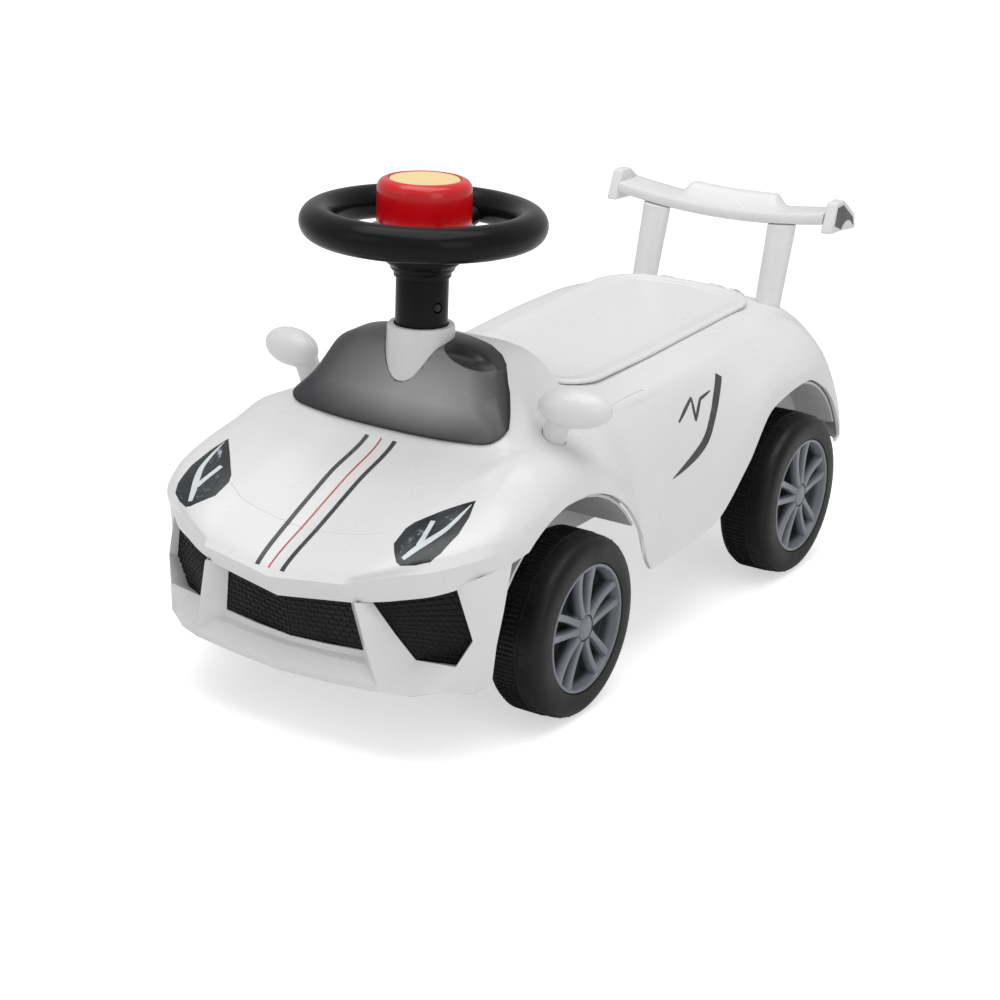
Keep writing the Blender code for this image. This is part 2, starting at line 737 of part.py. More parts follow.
def bumper_grid():
    """Rows from the lip down; columns from the middle to the wheel arch."""
    return [
        [bumper_top(x, 0.8, 1.2) for x in BUMPER_TOP_X],
        [bumper_top(x, 5.0, 1.6) for x in BUMPER_TOP_X],
        [(0, -311.5, 86), (28, -310.5, 87), (56, -307, 91), (66, -314, 93), (76, -305, 90),
         (94, -302, 91), (111, -293, 92), (127, -277, 93), (133, -267, 97), (135, -255, 104)],
        [(0, -305.5, 70), (28, -304.5, 71), (60, -301, 73), (73, -313, 74), (87, -304, 69),
         (98, -299, 70), (109, -293, 71), (118, -286, 72), (130.5, -271, 78), (135, -262, 86)],
        [(0, -307, 65.5), (28, -305.5, 66.5), (61, -302, 68), (75, -312.5, 65), (89, -305, 63),
         (100, -299, 63.5), (110.5, -293, 64), (120, -284.5, 65), (130, -272, 67), (134.5, -264, 71)],
        [(0, -317, 49), (30, -313, 49), (63, -304, 50), (77, -311.5, 52), (92, -304.5, 50),
         (102, -298, 50), (112, -291, 50.5), (121.5, -282, 51.5), (128.5, -272, 54), (132.5, -264, 57)],
    ]


BUMPER_GRID = bumper_grid()
GRILLE_SPANS = (0, 1)
VENT_SPANS = (4, 5, 6)


def bumper_face(i, j):
    open_row = i in (1, 2)
    return not (open_row and (j in GRILLE_SPANS or j in VENT_SPANS))


front_bumper = sheet_from_grid("front_bumper", BUMPER_GRID, WHITE, bumper_face)
thicken(front_bumper, WALL)


def mesh_panel(name, first_column, last_column, mirrored, side=1):
    """Moulded net behind an opening of the bumper."""
    rows = [row[first_column:last_column + 1] for row in BUMPER_GRID[1:4]]
    flat = [Vector(point) for row in rows for point in row]
    middle = sum(flat, Vector((0, 0, 0))) / len(flat)
    if mirrored:
        middle.x = 0.0
    grid = []
    for row in rows:
        line = []
        for point in row:
            grown = middle + (Vector(point) - middle) * 1.05
            grown += Vector((-2.2 * min(1.0, point[0] / 60.0), 4.6, 0.4))
            if mirrored and point[0] == 0:
                grown.x = 0.0
            line.append((side * grown.x, grown.y, grown.z))
        if not mirrored:
            end = Vector(line[-1])
            line.append((end.x - side * 2.5, end.y + 9.0, end.z))
        grid.append(line if side > 0 else list(reversed(line)))
    panel = sheet_from_grid(name, grid, MESH_BLACK, None, mirrored)
    thicken(panel, 2.0)
    return panel


centre_grille = mesh_panel("centre_grille", 0, 2, True)
for side_name, side in SIDES.items():
    mesh_panel("vent_mesh_" + side_name, 4, 7, False, side)


# Door mirrors and their stalks, pushed through the scuttle

MIRROR_PLACE = (119.5, -149.0, 212.3)
MIRROR_SWEEP = 15.0      # degrees, outer end to the rear


def make_mirror(side_name, side):
    x, y, z = MIRROR_PLACE
    turn = math.radians(side * MIRROR_SWEEP)
    shape = bmesh.new()
    bmesh.ops.create_uvsphere(shape, u_segments=18, v_segments=10, radius=1.0)
    bmesh.ops.scale(shape, vec=(0.026, 0.014, 0.0158), verts=shape.verts)
    mesh = bpy.data.meshes.new("mirror_head")
    shape.to_mesh(mesh)
    shape.free()
    head = add_object("mirror_head", mesh, WHITE)
    head.matrix_world = Matrix.Translation(mm(side * x, y, z)) @ Matrix.Rotation(turn, 4, 'Z')
    foot = (side * 99, y + 4, 176)
    neck = (side * 107, y + 1, 204)
    stalk = rod("mirror_stalk", foot, neck, 8.5, WHITE, 16, 9.0)
    hole = as_cutter(rod("mirror_hole_" + side_name, foot, neck, 8.5 + GAP, None, 16, 9.0 + GAP))
    boolean(body_shell, hole)
    return join_solids("mirror_" + side_name, [head, stalk], WHITE)


for side_name, side in SIDES.items():
    make_mirror(side_name, side)


# Spoiler: two posts through the rear deck, a bowed wing and two end caps

POST_X = 59.0
POST_FOOT = (258.0, 176.0)
POST_HEAD = (278.0, 250.4)
POST_WIDE = 1.08         # posts are oval: wider across the car than along it
POST_DEEP = 0.80
TENON_RADIUS = 5.0
TENON_HEIGHT = 4.5
WING_HALF = 96.0
WING_STEPS = 12
WING_FRONT = 275.0
WING_CHORD = 36.0


CAP_SIDE = [(272, 251), (282, 275.5), (296, 276), (318, 261), (321, 248), (298, 250)]


def wing_top(x):
    return 258.0 + 8.0 * (abs(x) / WING_HALF) ** 2


def make_wing():
    """Sections along X: a flat blade with a raised lip at the back of the middle."""
    rows = []
    for step in range(WING_STEPS + 1):
        x = -WING_HALF + 2 * WING_HALF * step / WING_STEPS
        top = wing_top(x)
        hump = 10.0 * max(0.0, 1.0 - (abs(x) / 44.0) ** 4)
        front = WING_FRONT
        rear = WING_FRONT + WING_CHORD
        rows.append([(x, front + 1, top - 9), (x, front, top - 4), (x, front + 2, top),
                     (x, rear - 17, top + 1), (x, rear - 9, top + 1 + hump),
                     (x, rear - 1, top + 1 + hump), (x, rear, top - 4), (x, rear - 13, top - 9)])
    count = len(rows[0])
    points = [mm(*point) for row in rows for point in row]
    faces = []
    for i in range(len(rows) - 1):
        for j in range(count):
            k = (j + 1) % count
            faces.append((i * count + j, i * count + k, (i + 1) * count + k, (i + 1) * count + j))
    faces.append(tuple(reversed(range(count))))
    faces.append(tuple((len(rows) - 1) * count + j for j in range(count)))
    mesh = mesh_from(points, faces, "spoiler_wing")
    shape = bmesh.new()
    shape.from_mesh(mesh)
    bmesh.ops.recalc_face_normals(shape, faces=shape.faces)
    shape.to_mesh(mesh)
    shape.free()
    return add_object("spoiler_wing", mesh, WHITE)


def oval_post(name, side, grown, material=None, sides=20):
    """Leaning oval bar, cut level at both ends; grown makes it fatter by that much."""
    ends = []
    for (y, z), radius in ((POST_FOOT, 10.0), (POST_HEAD, 11.4)):
        ring = []
        for index in range(sides):
            angle = 2 * math.pi * index / sides
            ring.append(mm(side * POST_X + (radius * POST_WIDE + grown) * math.cos(angle),
                           y + (radius * POST_DEEP + grown) * math.sin(angle), z))
        ends.append(ring)
    faces = [(i, (i + 1) % sides, sides + (i + 1) % sides, sides + i) for i in range(sides)]
    faces.append(tuple(reversed(range(sides))))
    faces.append(tuple(sides + i for i in range(sides)))
    return add_object(name, mesh_from(ends[0] + ends[1], faces, name), material)


spoiler_wing = make_wing()
for side_name, side in SIDES.items():
    post = oval_post("spoiler_post_" + side_name, side, 0.0, WHITE)
    head = (side * POST_X, POST_HEAD[0] + 4.0, POST_HEAD[1])
    tenon = rod("tenon", (*head[:2], head[2] - 3.0), (*head[:2], head[2] + TENON_HEIGHT),
                TENON_RADIUS, WHITE, 16)
    join_solids("spoiler_post_" + side_name, [post, tenon], WHITE)
    boolean(body_shell, as_cutter(oval_post("post_hole_" + side_name, side, GAP)))
    socket = rod("post_socket_" + side_name, (*head[:2], head[2] - 3.0),
                 (*head[:2], head[2] + TENON_HEIGHT + GAP), TENON_RADIUS + GAP, None, 16)
    boolean(spoiler_wing, as_cutter(socket))
    low, high = sorted((side * (WING_HALF + GAP), side * (WING_HALF + 10.0)))
    cap = extruded("wing_cap_" + side_name, CAP_SIDE, low, high, 'X', WHITE)
    edges = cap.modifiers.new("edges", 'BEVEL')
    edges.width = 0.0015
    edges.segments = 2


# Chassis tray, its cross member and the wheel-arch liners

def make_chassis():
    floor = block("chassis", (-70, -258, 88), (70, 262, 91))
    walls = [block("nose_plate", (-50, -298, 88), (50, -250, 91))]
    for name, side in SIDES.items():
        low, high = sorted((side * 67.5, side * 70.0))
        walls.append(block("wall_" + name, (low, -258, 89), (high, 262, 128)))
        walls.append(block("boss_" + name, (side * 60 - 8, 156, 52), (side * 60 + 8, 176, 90)))
    walls.append(block("wall_front", (-69, -258, 89), (69, -255.5, 120)))
    walls.append(block("wall_rear", (-69, 259.5, 89), (69, 262, 128)))
    chassis = join_solids("chassis", [floor] + walls, WHITE)
    boolean(chassis, as_cutter(rod("rod_hole", on_column(80), on_column(100), 6.5, None, 16)))
    axle_way = rod("axle_way", (-90, WHEELBASE_HALF, TYRE_RADIUS), (90, WHEELBASE_HALF, TYRE_RADIUS),
                   6.8, None, 16)
    boolean(chassis, as_cutter(axle_way))
    return chassis


chassis = make_chassis()

CARRIER_TOP = 87.7
CARRIER_BOTTOM = 44.0


def make_front_carrier():
    """Bridge that holds the two kingpins above and below each knuckle."""
    front = -WHEELBASE_HALF - 9
    rear = -WHEELBASE_HALF + 9
    upper = block("front_axle_carrier", (-93, front, 81), (93, rear, CARRIER_TOP))
    lower = block("lower_plate", (-93, front, CARRIER_BOTTOM), (93, rear, CARRIER_BOTTOM + 5))
    webs = [block("web_" + name, (side * 66 - 3, front, CARRIER_BOTTOM + 2), (side * 66 + 3, rear, 83))
            for name, side in SIDES.items()]
    carrier = join_solids("front_axle_carrier", [upper, lower] + webs, BLACK)
    for name, side in SIDES.items():
        place = (side * KINGPIN_X, -WHEELBASE_HALF)
        hole = rod("kingpin_way_" + name, (*place, 30), (*place, 95), AXLE_RADIUS + GAP, None, 12)
        boolean(carrier, as_cutter(hole))
    boolean(carrier, as_cutter(rod("rod_way", on_column(36), on_column(100), 6.0, None, 16)))
    return carrier


front_carrier = make_front_carrier()


def liner(name, side, arch, radius, inner_x, wall_foot, first, last, steps):
    """Curved roof over a wheel, with a flat wall towards the middle."""
    rows = []
    for step in range(steps + 1):
        angle = math.radians(first + (last - first) * step / steps)
        y = arch[0] + radius * math.cos(angle)
        z = arch[1] + radius * math.sin(angle)
        middle_x = (inner_x + 131.0) / 2
        row = [(side * 131.0, y, z), (side * middle_x, y, z), (side * inner_x, y, z),
               (side * inner_x, y, min(z - 2, wall_foot))]
        rows.append(row if side < 0 else list(reversed(row)))
    sheet = sheet_from_grid(name, rows, WHITE, None, False)
    thicken(sheet, 2.0)
    return sheet


for side_name, side in SIDES.items():
    liner("front_liner_" + side_name, side, ARCH_FRONT, 102.0, 73.5, 108.0, 36, 142, 12)
    liner("rear_liner_" + side_name, side, ARCH_REAR, 90.5, 98.0, 84.0, 26, 148, 12)


# Wheels: blow-moulded tyre with web and boss, pressed-in hub cap, push nut

TYRE_BORE = HUB_RADIUS + 0.4
AXLE_BORE = AXLE_RADIUS + 0.4
TYRE_PROFILE = [(TYRE_BORE, 0.0), (56.0, 0.0), (61.5, -1.6), (64.3, -5.0), (TYRE_RADIUS, -9.5),
                (TYRE_RADIUS, -35.5), (63.6, -39.8), (60.0, -TYRE_WIDTH), (49.0, -TYRE_WIDTH), (46.0, -14.0),
                (9.0, -12.6), (9.0, -TYRE_WIDTH - 0.6), (AXLE_BORE, -TYRE_WIDTH - 0.6), (AXLE_BORE, -8.8),
                (TYRE_BORE, -8.8)]
CAP_PROFILE = [(0.0, -1.4), (9.5, -1.4), (10.8, -5.6), (40.6, -5.6), (42.4, -0.3), (45.0, -0.3),
               (HUB_RADIUS, -8.5), (43.2, -8.5), (43.0, -7.4), (9.2, -7.4), (9.0, -3.6), (0.0, -3.6)]
NUT_PROFILE = [(AXLE_RADIUS + GAP, -5.4), (5.6, -5.4), (7.4, -7.8), (7.4, -8.5),
               (AXLE_RADIUS + GAP, -8.5)]
WHEEL_STEPS = 28
SPOKE_PAIRS = 5


def wheel_place(side, y):
    return mm(side * TRACK_OUTER, y, TYRE_RADIUS)


def make_hub_cap():
    """Dish with ten spokes in five pairs, around its own axis."""
    cap = turned("hub_cap", CAP_PROFILE, HUB_GREY, Vector((0, 0, 0)), steps=WHEEL_STEPS)
    spokes = []
    for index in range(2 * SPOKE_PAIRS):
        pair_angle = math.radians(90 + 360.0 / SPOKE_PAIRS * (index // 2))
        lean = 1 if index % 2 else -1
        shape = bmesh.new()
        bmesh.ops.create_cube(shape, size=1.0)
        bmesh.ops.scale(shape, vec=(0.0335, 0.0042, 0.0042), verts=shape.verts)
        mesh = bpy.data.meshes.new("spoke")
        shape.to_mesh(mesh)
        shape.free()
        spoke = add_object("spoke_%d" % index, mesh, None, smooth=False)
        turn = Matrix.Rotation(pair_angle + lean * math.radians(3.0), 4, 'Z')
        shift = Matrix.Translation(Vector((0.0255, lean * 0.0046, -0.0042)))
        spoke.matrix_world = turn @ shift
        spokes.append(spoke)
    return join_solids("hub_cap_shape", [cap] + spokes, HUB_GREY).data


hub_cap_mesh = make_hub_cap()
bpy.data.objects.remove(bpy.data.objects["hub_cap_shape"], do_unlink=True)

for end_name, end_y in (("front", -WHEELBASE_HALF), ("rear", WHEELBASE_HALF)):
    for side_name, side in SIDES.items():
        place = wheel_place(side, end_y)
        axis = Vector((side, 0, 0))
        label = "%s_%s" % (end_name, side_name)
        turned("tyre_" + label, TYRE_PROFILE, TYRE_BLACK, place, axis, WHEEL_STEPS, True)
        cap = add_object("hub_cap_" + label, hub_cap_mesh)
        cap.matrix_world = Matrix.Translation(place) @ axis.to_track_quat('Z', 'Y').to_matrix().to_4x4()
        turned("push_nut_" + label, NUT_PROFILE, STEEL, place, axis, 12, True)

AXLE_END = TRACK_OUTER - 4.8
rear_axle = rod("rear_axle", (-AXLE_END, WHEELBASE_HALF, TYRE_RADIUS),
                (AXLE_END, WHEELBASE_HALF, TYRE_RADIUS), AXLE_RADIUS, STEEL, 16)
for side_name, side in SIDES.items():
    place = mm(side * 60, WHEELBASE_HALF, TYRE_RADIUS)
    bush = [(AXLE_RADIUS + GAP, 43.8), (6.5, 43.8), (6.5, -8.0), (AXLE_RADIUS + GAP, -8.0)]
    turned("axle_bush_" + side_name, bush, BLACK, place, Vector((side, 0, 0)), 16, True)


# Steering linkage: rod with crank, knuckles on kingpins, tie rod

LINK_Z = 60.0
ARM_Y = -WHEELBASE_HALF + STEERING_ARM
CRANK_Y = on_column(LINK_Z)[1] + STEERING_ARM
LINK_PIN = 2.8


def make_knuckle(side_name, side):
    king = (side * KINGPIN_X, -WHEELBASE_HALF)
    barrel = rod("steering_knuckle_" + side_name, (*king, 49.5), (*king, 80.5), 9.0, BLACK, 16)
    boss = rod("boss", (side * KINGPIN_X, -WHEELBASE_HALF, TYRE_RADIUS),
               (side * 103.6, -WHEELBASE_HALF, TYRE_RADIUS), 8.5, BLACK, 12)
    arm = block("arm", (side * KINGPIN_X - 5, -WHEELBASE_HALF, LINK_Z),
                (side * KINGPIN_X + 5, ARM_Y + 5, LINK_Z + 5))
    knuckle = join_solids("steering_knuckle_" + side_name, [barrel, boss, arm], BLACK)
    bores = [rod("king_bore_" + side_name, (*king, 30), (*king, 95), AXLE_RADIUS + GAP, None, 12),
             rod("stub_bore_" + side_name, (side * 90, -WHEELBASE_HALF, TYRE_RADIUS),
                 (side * 110, -WHEELBASE_HALF, TYRE_RADIUS), AXLE_RADIUS + GAP, None, 12),
             rod("link_bore_" + side_name, (side * KINGPIN_X, ARM_Y, 40), (side * KINGPIN_X, ARM_Y, 90),
                 LINK_PIN + 0.6, None, 12)]
    for bore in bores:
        boolean(knuckle, as_cutter(bore))
    rod("kingpin_" + side_name, (*king, 42.0), (*king, CARRIER_TOP), AXLE_RADIUS, STEEL, 12)
    rod("stub_axle_" + side_name, (side * 90.4, -WHEELBASE_HALF, TYRE_RADIUS),
        (side * AXLE_END, -WHEELBASE_HALF, TYRE_RADIUS), AXLE_RADIUS, STEEL, 12)
    return knuckle


for side_name, side in SIDES.items():
    make_knuckle(side_name, side)

shaft = rod("steering_rod", on_column(45), on_column(206), ROD_RADIUS, STEEL, 12)
crank = block("crank", (-6, on_column(LINK_Z)[1] - 6, LINK_Z), (6, CRANK_Y + 6, LINK_Z + 5))
steering_rod = join_solids("steering_rod", [shaft, crank], STEEL)
crank_bore = rod("crank_bore", (0, CRANK_Y, 40), (0, CRANK_Y, 90), LINK_PIN + 0.9, None, 12)
boolean(steering_rod, as_cutter(crank_bore))

tie_bar = block("tie_rod", (-KINGPIN_X - 6, ARM_Y - 6, 53.5), (KINGPIN_X + 6, ARM_Y + 9, 57.5))
tie_pins = [rod("link_pin_%d" % index, (x, y, 55), (x, y, 67), LINK_PIN, STEEL, 12)
            for index, (x, y) in enumerate(((-KINGPIN_X, ARM_Y), (0.0, CRANK_Y), (KINGPIN_X, ARM_Y)))]
tie_rod = join_solids("tie_rod", [tie_bar] + tie_pins, STEEL)
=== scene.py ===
"""Looks of the kids ride-on car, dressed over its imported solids.

The car faces -Y, +X is its left side, +Z is up and the tyres stand on z = 0.
Sizes are written in millimetres and turned into metres by mm(), as in the part's source.
"""

import math

import bmesh
import bpy
from mathutils import Matrix, Vector
from mathutils.bvhtree import BVHTree


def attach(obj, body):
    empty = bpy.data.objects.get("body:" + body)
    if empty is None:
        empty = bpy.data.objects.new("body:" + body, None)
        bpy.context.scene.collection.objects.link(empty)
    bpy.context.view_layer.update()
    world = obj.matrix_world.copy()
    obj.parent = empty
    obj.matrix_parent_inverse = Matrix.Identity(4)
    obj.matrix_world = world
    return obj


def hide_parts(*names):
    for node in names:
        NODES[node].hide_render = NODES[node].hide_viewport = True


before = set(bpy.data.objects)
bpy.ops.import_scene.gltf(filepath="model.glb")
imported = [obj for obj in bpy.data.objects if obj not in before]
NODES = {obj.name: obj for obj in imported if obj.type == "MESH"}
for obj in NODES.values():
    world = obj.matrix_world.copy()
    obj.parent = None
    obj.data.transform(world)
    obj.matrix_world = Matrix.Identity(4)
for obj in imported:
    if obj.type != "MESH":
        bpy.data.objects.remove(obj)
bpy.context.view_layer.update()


# Camera: a long lens at the height of a standing adult, in front of the car and to its left.
# It is level but for a small roll, and nothing is shifted or out of focus.

VIEW_AZIMUTH = 32.48
VIEW_ELEVATION = 20.08
VIEW_ROLL = 1.63
VIEW_TARGET = Vector((-0.0326, 0.0031, 0.0699))
VIEW_DISTANCE = 1.7312


def place_camera():
    azimuth = math.radians(VIEW_AZIMUTH)
    elevation = math.radians(VIEW_ELEVATION)
    roll = math.radians(VIEW_ROLL)
    right = Vector((math.cos(azimuth), math.sin(azimuth), 0.0))
    back = Vector((math.sin(azimuth) * math.cos(elevation),
                   -math.cos(azimuth) * math.cos(elevation), math.sin(elevation)))
    up = back.cross(right)
    turned_right = right * math.cos(roll) + up * math.sin(roll)
    turned_up = -right * math.sin(roll) + up * math.cos(roll)
    lens = bpy.data.cameras.new("catalogue_camera")
    lens.lens = 80.2
    lens.sensor_width = 36.0
    lens.clip_start = 0.05
    lens.clip_end = 20.0
    camera = bpy.data.objects.new("catalogue_camera", lens)
    place = VIEW_TARGET + back * VIEW_DISTANCE
    axes = Matrix((turned_right, turned_up, back)).transposed().to_4x4()
    camera.matrix_world = Matrix.Translation(place) @ axes
    bpy.context.scene.collection.objects.link(camera)
    bpy.context.scene.camera = camera


place_camera()


# Studio: a white cove, one broad soft box overhead and two at the sides, over a pale floor.
# The floor looks white to the camera and keeps the car's own soft shadow.

def set_inputs(tree, node, inputs):
    """Give each input a value, or link it to the output of another node."""
    for socket, value in inputs.items():
        if isinstance(value, bpy.types.NodeSocket):
            tree.links.new(value, node.inputs[socket])
        else:
            node.inputs[socket].default_value = value


def add_node(tree, kind, inputs=None, **settings):
    """A node with its settings and its inputs."""
    node = tree.nodes.new(kind)
    for name, value in settings.items():
        setattr(node, name, value)
    set_inputs(tree, node, inputs or {})
    return node


COVE_WHITE = (1.0, 1.0, 1.0, 1.0)
COVE_FILL = 0.52         # what the cove throws on the car; the camera sees it at full white
FLOOR_GREY = (0.86, 0.86, 0.86, 1.0)
FLOOR_GLOW = 0.55
FLOOR_HALF = 4.0         # metres


def light_the_cove():
    world = bpy.data.worlds.new("white_cove")
    bpy.context.scene.world = world
    world.use_nodes = True
    tree = world.node_tree
    tree.nodes.clear()
    rays = add_node(tree, "ShaderNodeLightPath").outputs
    seen = add_node(tree, "ShaderNodeMath", {0: rays["Is Camera Ray"], 1: rays["Is Transmission Ray"]},
                    operation='MAXIMUM')
    fill, wall = [add_node(tree, "ShaderNodeBackground", {"Color": COVE_WHITE, "Strength": strength})
                  for strength in (COVE_FILL, 1.0)]
    mix = add_node(tree, "ShaderNodeMixShader", {"Fac": seen.outputs[0], 1: fill.outputs[0], 2: wall.outputs[0]})
    add_node(tree, "ShaderNodeOutputWorld", {"Surface": mix.outputs[0]})


def soft_box(name, place, target, width, height, power):
    lamp = bpy.data.lights.new(name, 'AREA')
    lamp.shape = 'RECTANGLE'
    lamp.size = width
    lamp.size_y = height
    lamp.energy = power
    item = bpy.data.objects.new(name, lamp)
    way = Vector(target) - Vector(place)
    item.matrix_world = (Matrix.Translation(Vector(place))
                         @ way.to_track_quat('-Z', 'Y').to_matrix().to_4x4())
    bpy.context.scene.collection.objects.link(item)


def lay_floor():
    mesh = bpy.data.meshes.new("studio_floor")
    corners = ((-1, -1), (1, -1), (1, 1), (-1, 1))
    mesh.from_pydata([(x * FLOOR_HALF, y * FLOOR_HALF, 0) for x, y in corners], [], [(0, 1, 2, 3)])
    floor = bpy.data.objects.new("studio_floor", mesh)
    bpy.context.scene.collection.objects.link(floor)
    paper = bpy.data.materials.new("studio_paper")
    paper.use_nodes = True
    tree = paper.node_tree
    tree.nodes.clear()
    rays = add_node(tree, "ShaderNodeLightPath").outputs
    matt = add_node(tree, "ShaderNodeBsdfDiffuse", {"Color": FLOOR_GREY}).outputs[0]
    glow = add_node(tree, "ShaderNodeEmission", {"Strength": FLOOR_GLOW}).outputs[0]
    total = add_node(tree, "ShaderNodeAddShader", {0: matt, 1: glow}).outputs[0]
    mix = add_node(tree, "ShaderNodeMixShader", {"Fac": rays["Is Camera Ray"], 1: matt, 2: total})
    add_node(tree, "ShaderNodeOutputMaterial", {"Surface": mix.outputs[0]})
    mesh.materials.append(paper)


light_the_cove()
soft_box("overhead_box", (0.0, -0.2, 2.2), (0.0, 0.0, 0.1), 2.4, 2.0, 32.0)
soft_box("left_box", (2.3, -1.3, 1.1), (0.0, 0.0, 0.15), 1.2, 1.6, 7.0)
soft_box("front_box", (-1.0, -2.4, 1.3), (0.0, 0.0, 0.15), 1.4, 1.2, 2.5)
lay_floor()
bpy.context.scene.view_settings.view_transform = 'Standard'


# Body shell: one blow-moulded skin of white polyethylene from the nose lip to the tail.
# It is trimmed at the wheel arches and cut for the collar, the bin, the mirrors and the spoiler posts.
# The moulding leaves a fine orange-peel gloss and soft edges; dust and handling dull it in patches.

MIDDLE_Y = 3.1           # middle of the wheelbase, behind the middle of the length


def mm(x, y, z):
    return Vector((x / 1000.0, (y + MIDDLE_Y) / 1000.0, z / 1000.0))


def new_finish(name):
    """An empty node material and its shader."""
    material = bpy.data.materials.new(name)
    material.use_nodes = True
    tree = material.node_tree
    return material, tree, tree.nodes["Principled BSDF"]


def object_place(tree):
    return add_node(tree, "ShaderNodeTexCoord").outputs["Object"]


def placed(tree, kind, **inputs):
    """The piece's own coordinates, moved, turned or stretched."""
    mapping = add_node(tree, "ShaderNodeMapping", {"Vector": object_place(tree), **inputs}, vector_type=kind)
    return mapping.outputs["Vector"]


def cloud(tree, scale, detail=3.0, rough=0.5, where=None):
    """Soft random patches over the piece; scale is in patches per metre."""
    where = object_place(tree) if where is None else where
    noise = add_node(tree, "ShaderNodeTexNoise",
                     {"Vector": where, "Scale": scale, "Detail": detail, "Roughness": rough})
    return noise.outputs["Fac"]


def spread(tree, value, low, high, first=0.3, last=0.7):
    """Stretch a 0 to 1 pattern between two numbers."""
    change = add_node(tree, "ShaderNodeMapRange", {"Value": value, "From Min": first, "From Max": last,
                                                   "To Min": low, "To Max": high})
    return change.outputs["Result"]


def between(tree, share, colour_a, colour_b):
    """Blend two colours; each is a colour or another node's output."""
    first, last = [(*colour, 1.0) if isinstance(colour, tuple) else colour for colour in (colour_a, colour_b)]
    mix = add_node(tree, "ShaderNodeMix", {"Factor": share, "A": first, "B": last}, data_type='RGBA')
    return mix.outputs["Result"]


def relief(tree, height, strength, depth, before=None):
    """Bump from a 0 to 1 pattern; depth is in millimetres."""
    bump = add_node(tree, "ShaderNodeBump", {"Strength": strength, "Distance": depth / 1000.0, "Height": height})
    if before is not None:
        tree.links.new(before, bump.inputs["Normal"])
    return bump.outputs["Normal"]


def moulded_plastic(name, colour, dull_colour, roughness, peel_scale, peel_depth, coat=0.0, shine=0.5):
    """Moulded plastic: fine skin texture, uneven gloss, slightly duller handled patches and hairline scuffs."""
    material, tree, shader = new_finish(name)
    dulled = spread(tree, cloud(tree, 9.0, 4.0, 0.6), 0.0, 1.0, 0.42, 0.72)
    hairlines = placed(tree, 'POINT', Scale=(14.0, 0.8, 6.0), Rotation=(0.2, 0.35, 0.6))
    scuffs = spread(tree, cloud(tree, 60.0, 2.0, 0.5, hairlines), 0.0, 1.0, 0.3, 0.85)
    peel = relief(tree, cloud(tree, peel_scale, 2.0), 0.35, 0.4 * peel_depth)
    set_inputs(tree, shader, {
        "Base Color": between(tree, dulled, colour, dull_colour),
        "Roughness": spread(tree, cloud(tree, 38.0, 5.0, 0.62), *roughness),
        "Normal": relief(tree, scuffs, 0.04, 0.002, peel),
        "Specular IOR Level": shine, "Coat Weight": coat, "Coat Roughness": 0.12})
    return material


WHITE_PLASTIC = moulded_plastic("white_plastic", (0.765, 0.765, 0.77), (0.745, 0.746, 0.75),
                                (0.24, 0.40), 520.0, 0.05, 0.25)


def mesh_of(name, points, faces):
    mesh = bpy.data.meshes.new(name)
    mesh.from_pydata([tuple(point) for point in points], [], faces)
    mesh.update()
    return mesh


WELD = 0.00002           # metres; nearer points than this are one where two halves meet
LATHE_WELD = 0.000002    # the same on the axis of a turned shape


def welded(mesh):
    shape = bmesh.new()
    shape.from_mesh(mesh)
    bmesh.ops.remove_doubles(shape, verts=shape.verts, dist=WELD)
    shape.to_mesh(mesh)
    shape.free()
    return mesh


def joined(name, meshes, outwards=False, weld=None):
    """One mesh of several, with near points merged and faces turned outwards if asked."""
    shape = bmesh.new()
    for mesh in meshes:
        shape.from_mesh(mesh)
    if weld:
        bmesh.ops.remove_doubles(shape, verts=shape.verts, dist=weld)
        bmesh.ops.dissolve_degenerate(shape, dist=weld / 2.0, edges=shape.edges)
    if outwards:
        bmesh.ops.recalc_face_normals(shape, faces=shape.faces)
    result = bpy.data.meshes.new(name)
    shape.to_mesh(result)
    shape.free()
    return result


def band_faces(rings, count, closed=True):
    """Faces between neighbouring rings or rows, each count points long."""
    return [(i * count + k, i * count + (k + 1) % count, (i + 1) * count + (k + 1) % count, (i + 1) * count + k)
            for i in range(rings - 1) for k in range(count if closed else count - 1)]


def skinned(name, rings):
    """A closed shape through rings of points in metres, each with the same number of points."""
    count = len(rings[0])
    total = len(rings) * count
    ends = [tuple(range(count)), tuple(range(total - count, total))]
    return mesh_of(name, [point for ring in rings for point in ring], band_faces(len(rings), count) + ends)


def add_piece(name, mesh, material, body, replaced=(), crease=30.0, outwards=True):
    """Put a finished mesh in the scene, riding on a body and standing for the solids it replaces."""
    if outwards:
        mesh = joined(name, [mesh], True)
    mesh.materials.clear()
    mesh.materials.append(material)
    mesh.shade_smooth()
    mesh.set_sharp_from_angle(angle=math.radians(crease))
    item = scratch_object(name, mesh)
    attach(item, body)
    if replaced:
        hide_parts(*replaced)
    return item


def settled(item):
    """The object's mesh with its modifiers worked in; the object goes."""
    bpy.context.view_layer.update()
    evaluated = item.evaluated_get(bpy.context.evaluated_depsgraph_get())
    mesh = bpy.data.meshes.new_from_object(evaluated)
    bpy.data.objects.remove(item, do_unlink=True)
    return mesh


def scratch_object(name, mesh):
    item = bpy.data.objects.new(name, mesh)
    bpy.context.scene.collection.objects.link(item)
    return item


def modified(mesh, *steps):
    """The mesh with modifiers worked in; a step is a kind and its settings."""
    item = scratch_object("work", mesh)
    for kind, settings in steps:
        modifier = item.modifiers.new(kind, kind)
        for name, value in settings.items():
            setattr(modifier, name, value)
    return settled(item)


def cut_away(mesh, cutters):
    """Take closed cutters out of a closed mesh."""
    cutter = scratch_object("cutters", joined("cutters", cutters, True))
    result = modified(mesh, ('BOOLEAN', {"solver": 'EXACT', "use_self": True, "object": cutter}))
    bpy.data.objects.remove(cutter, do_unlink=True)
    return result


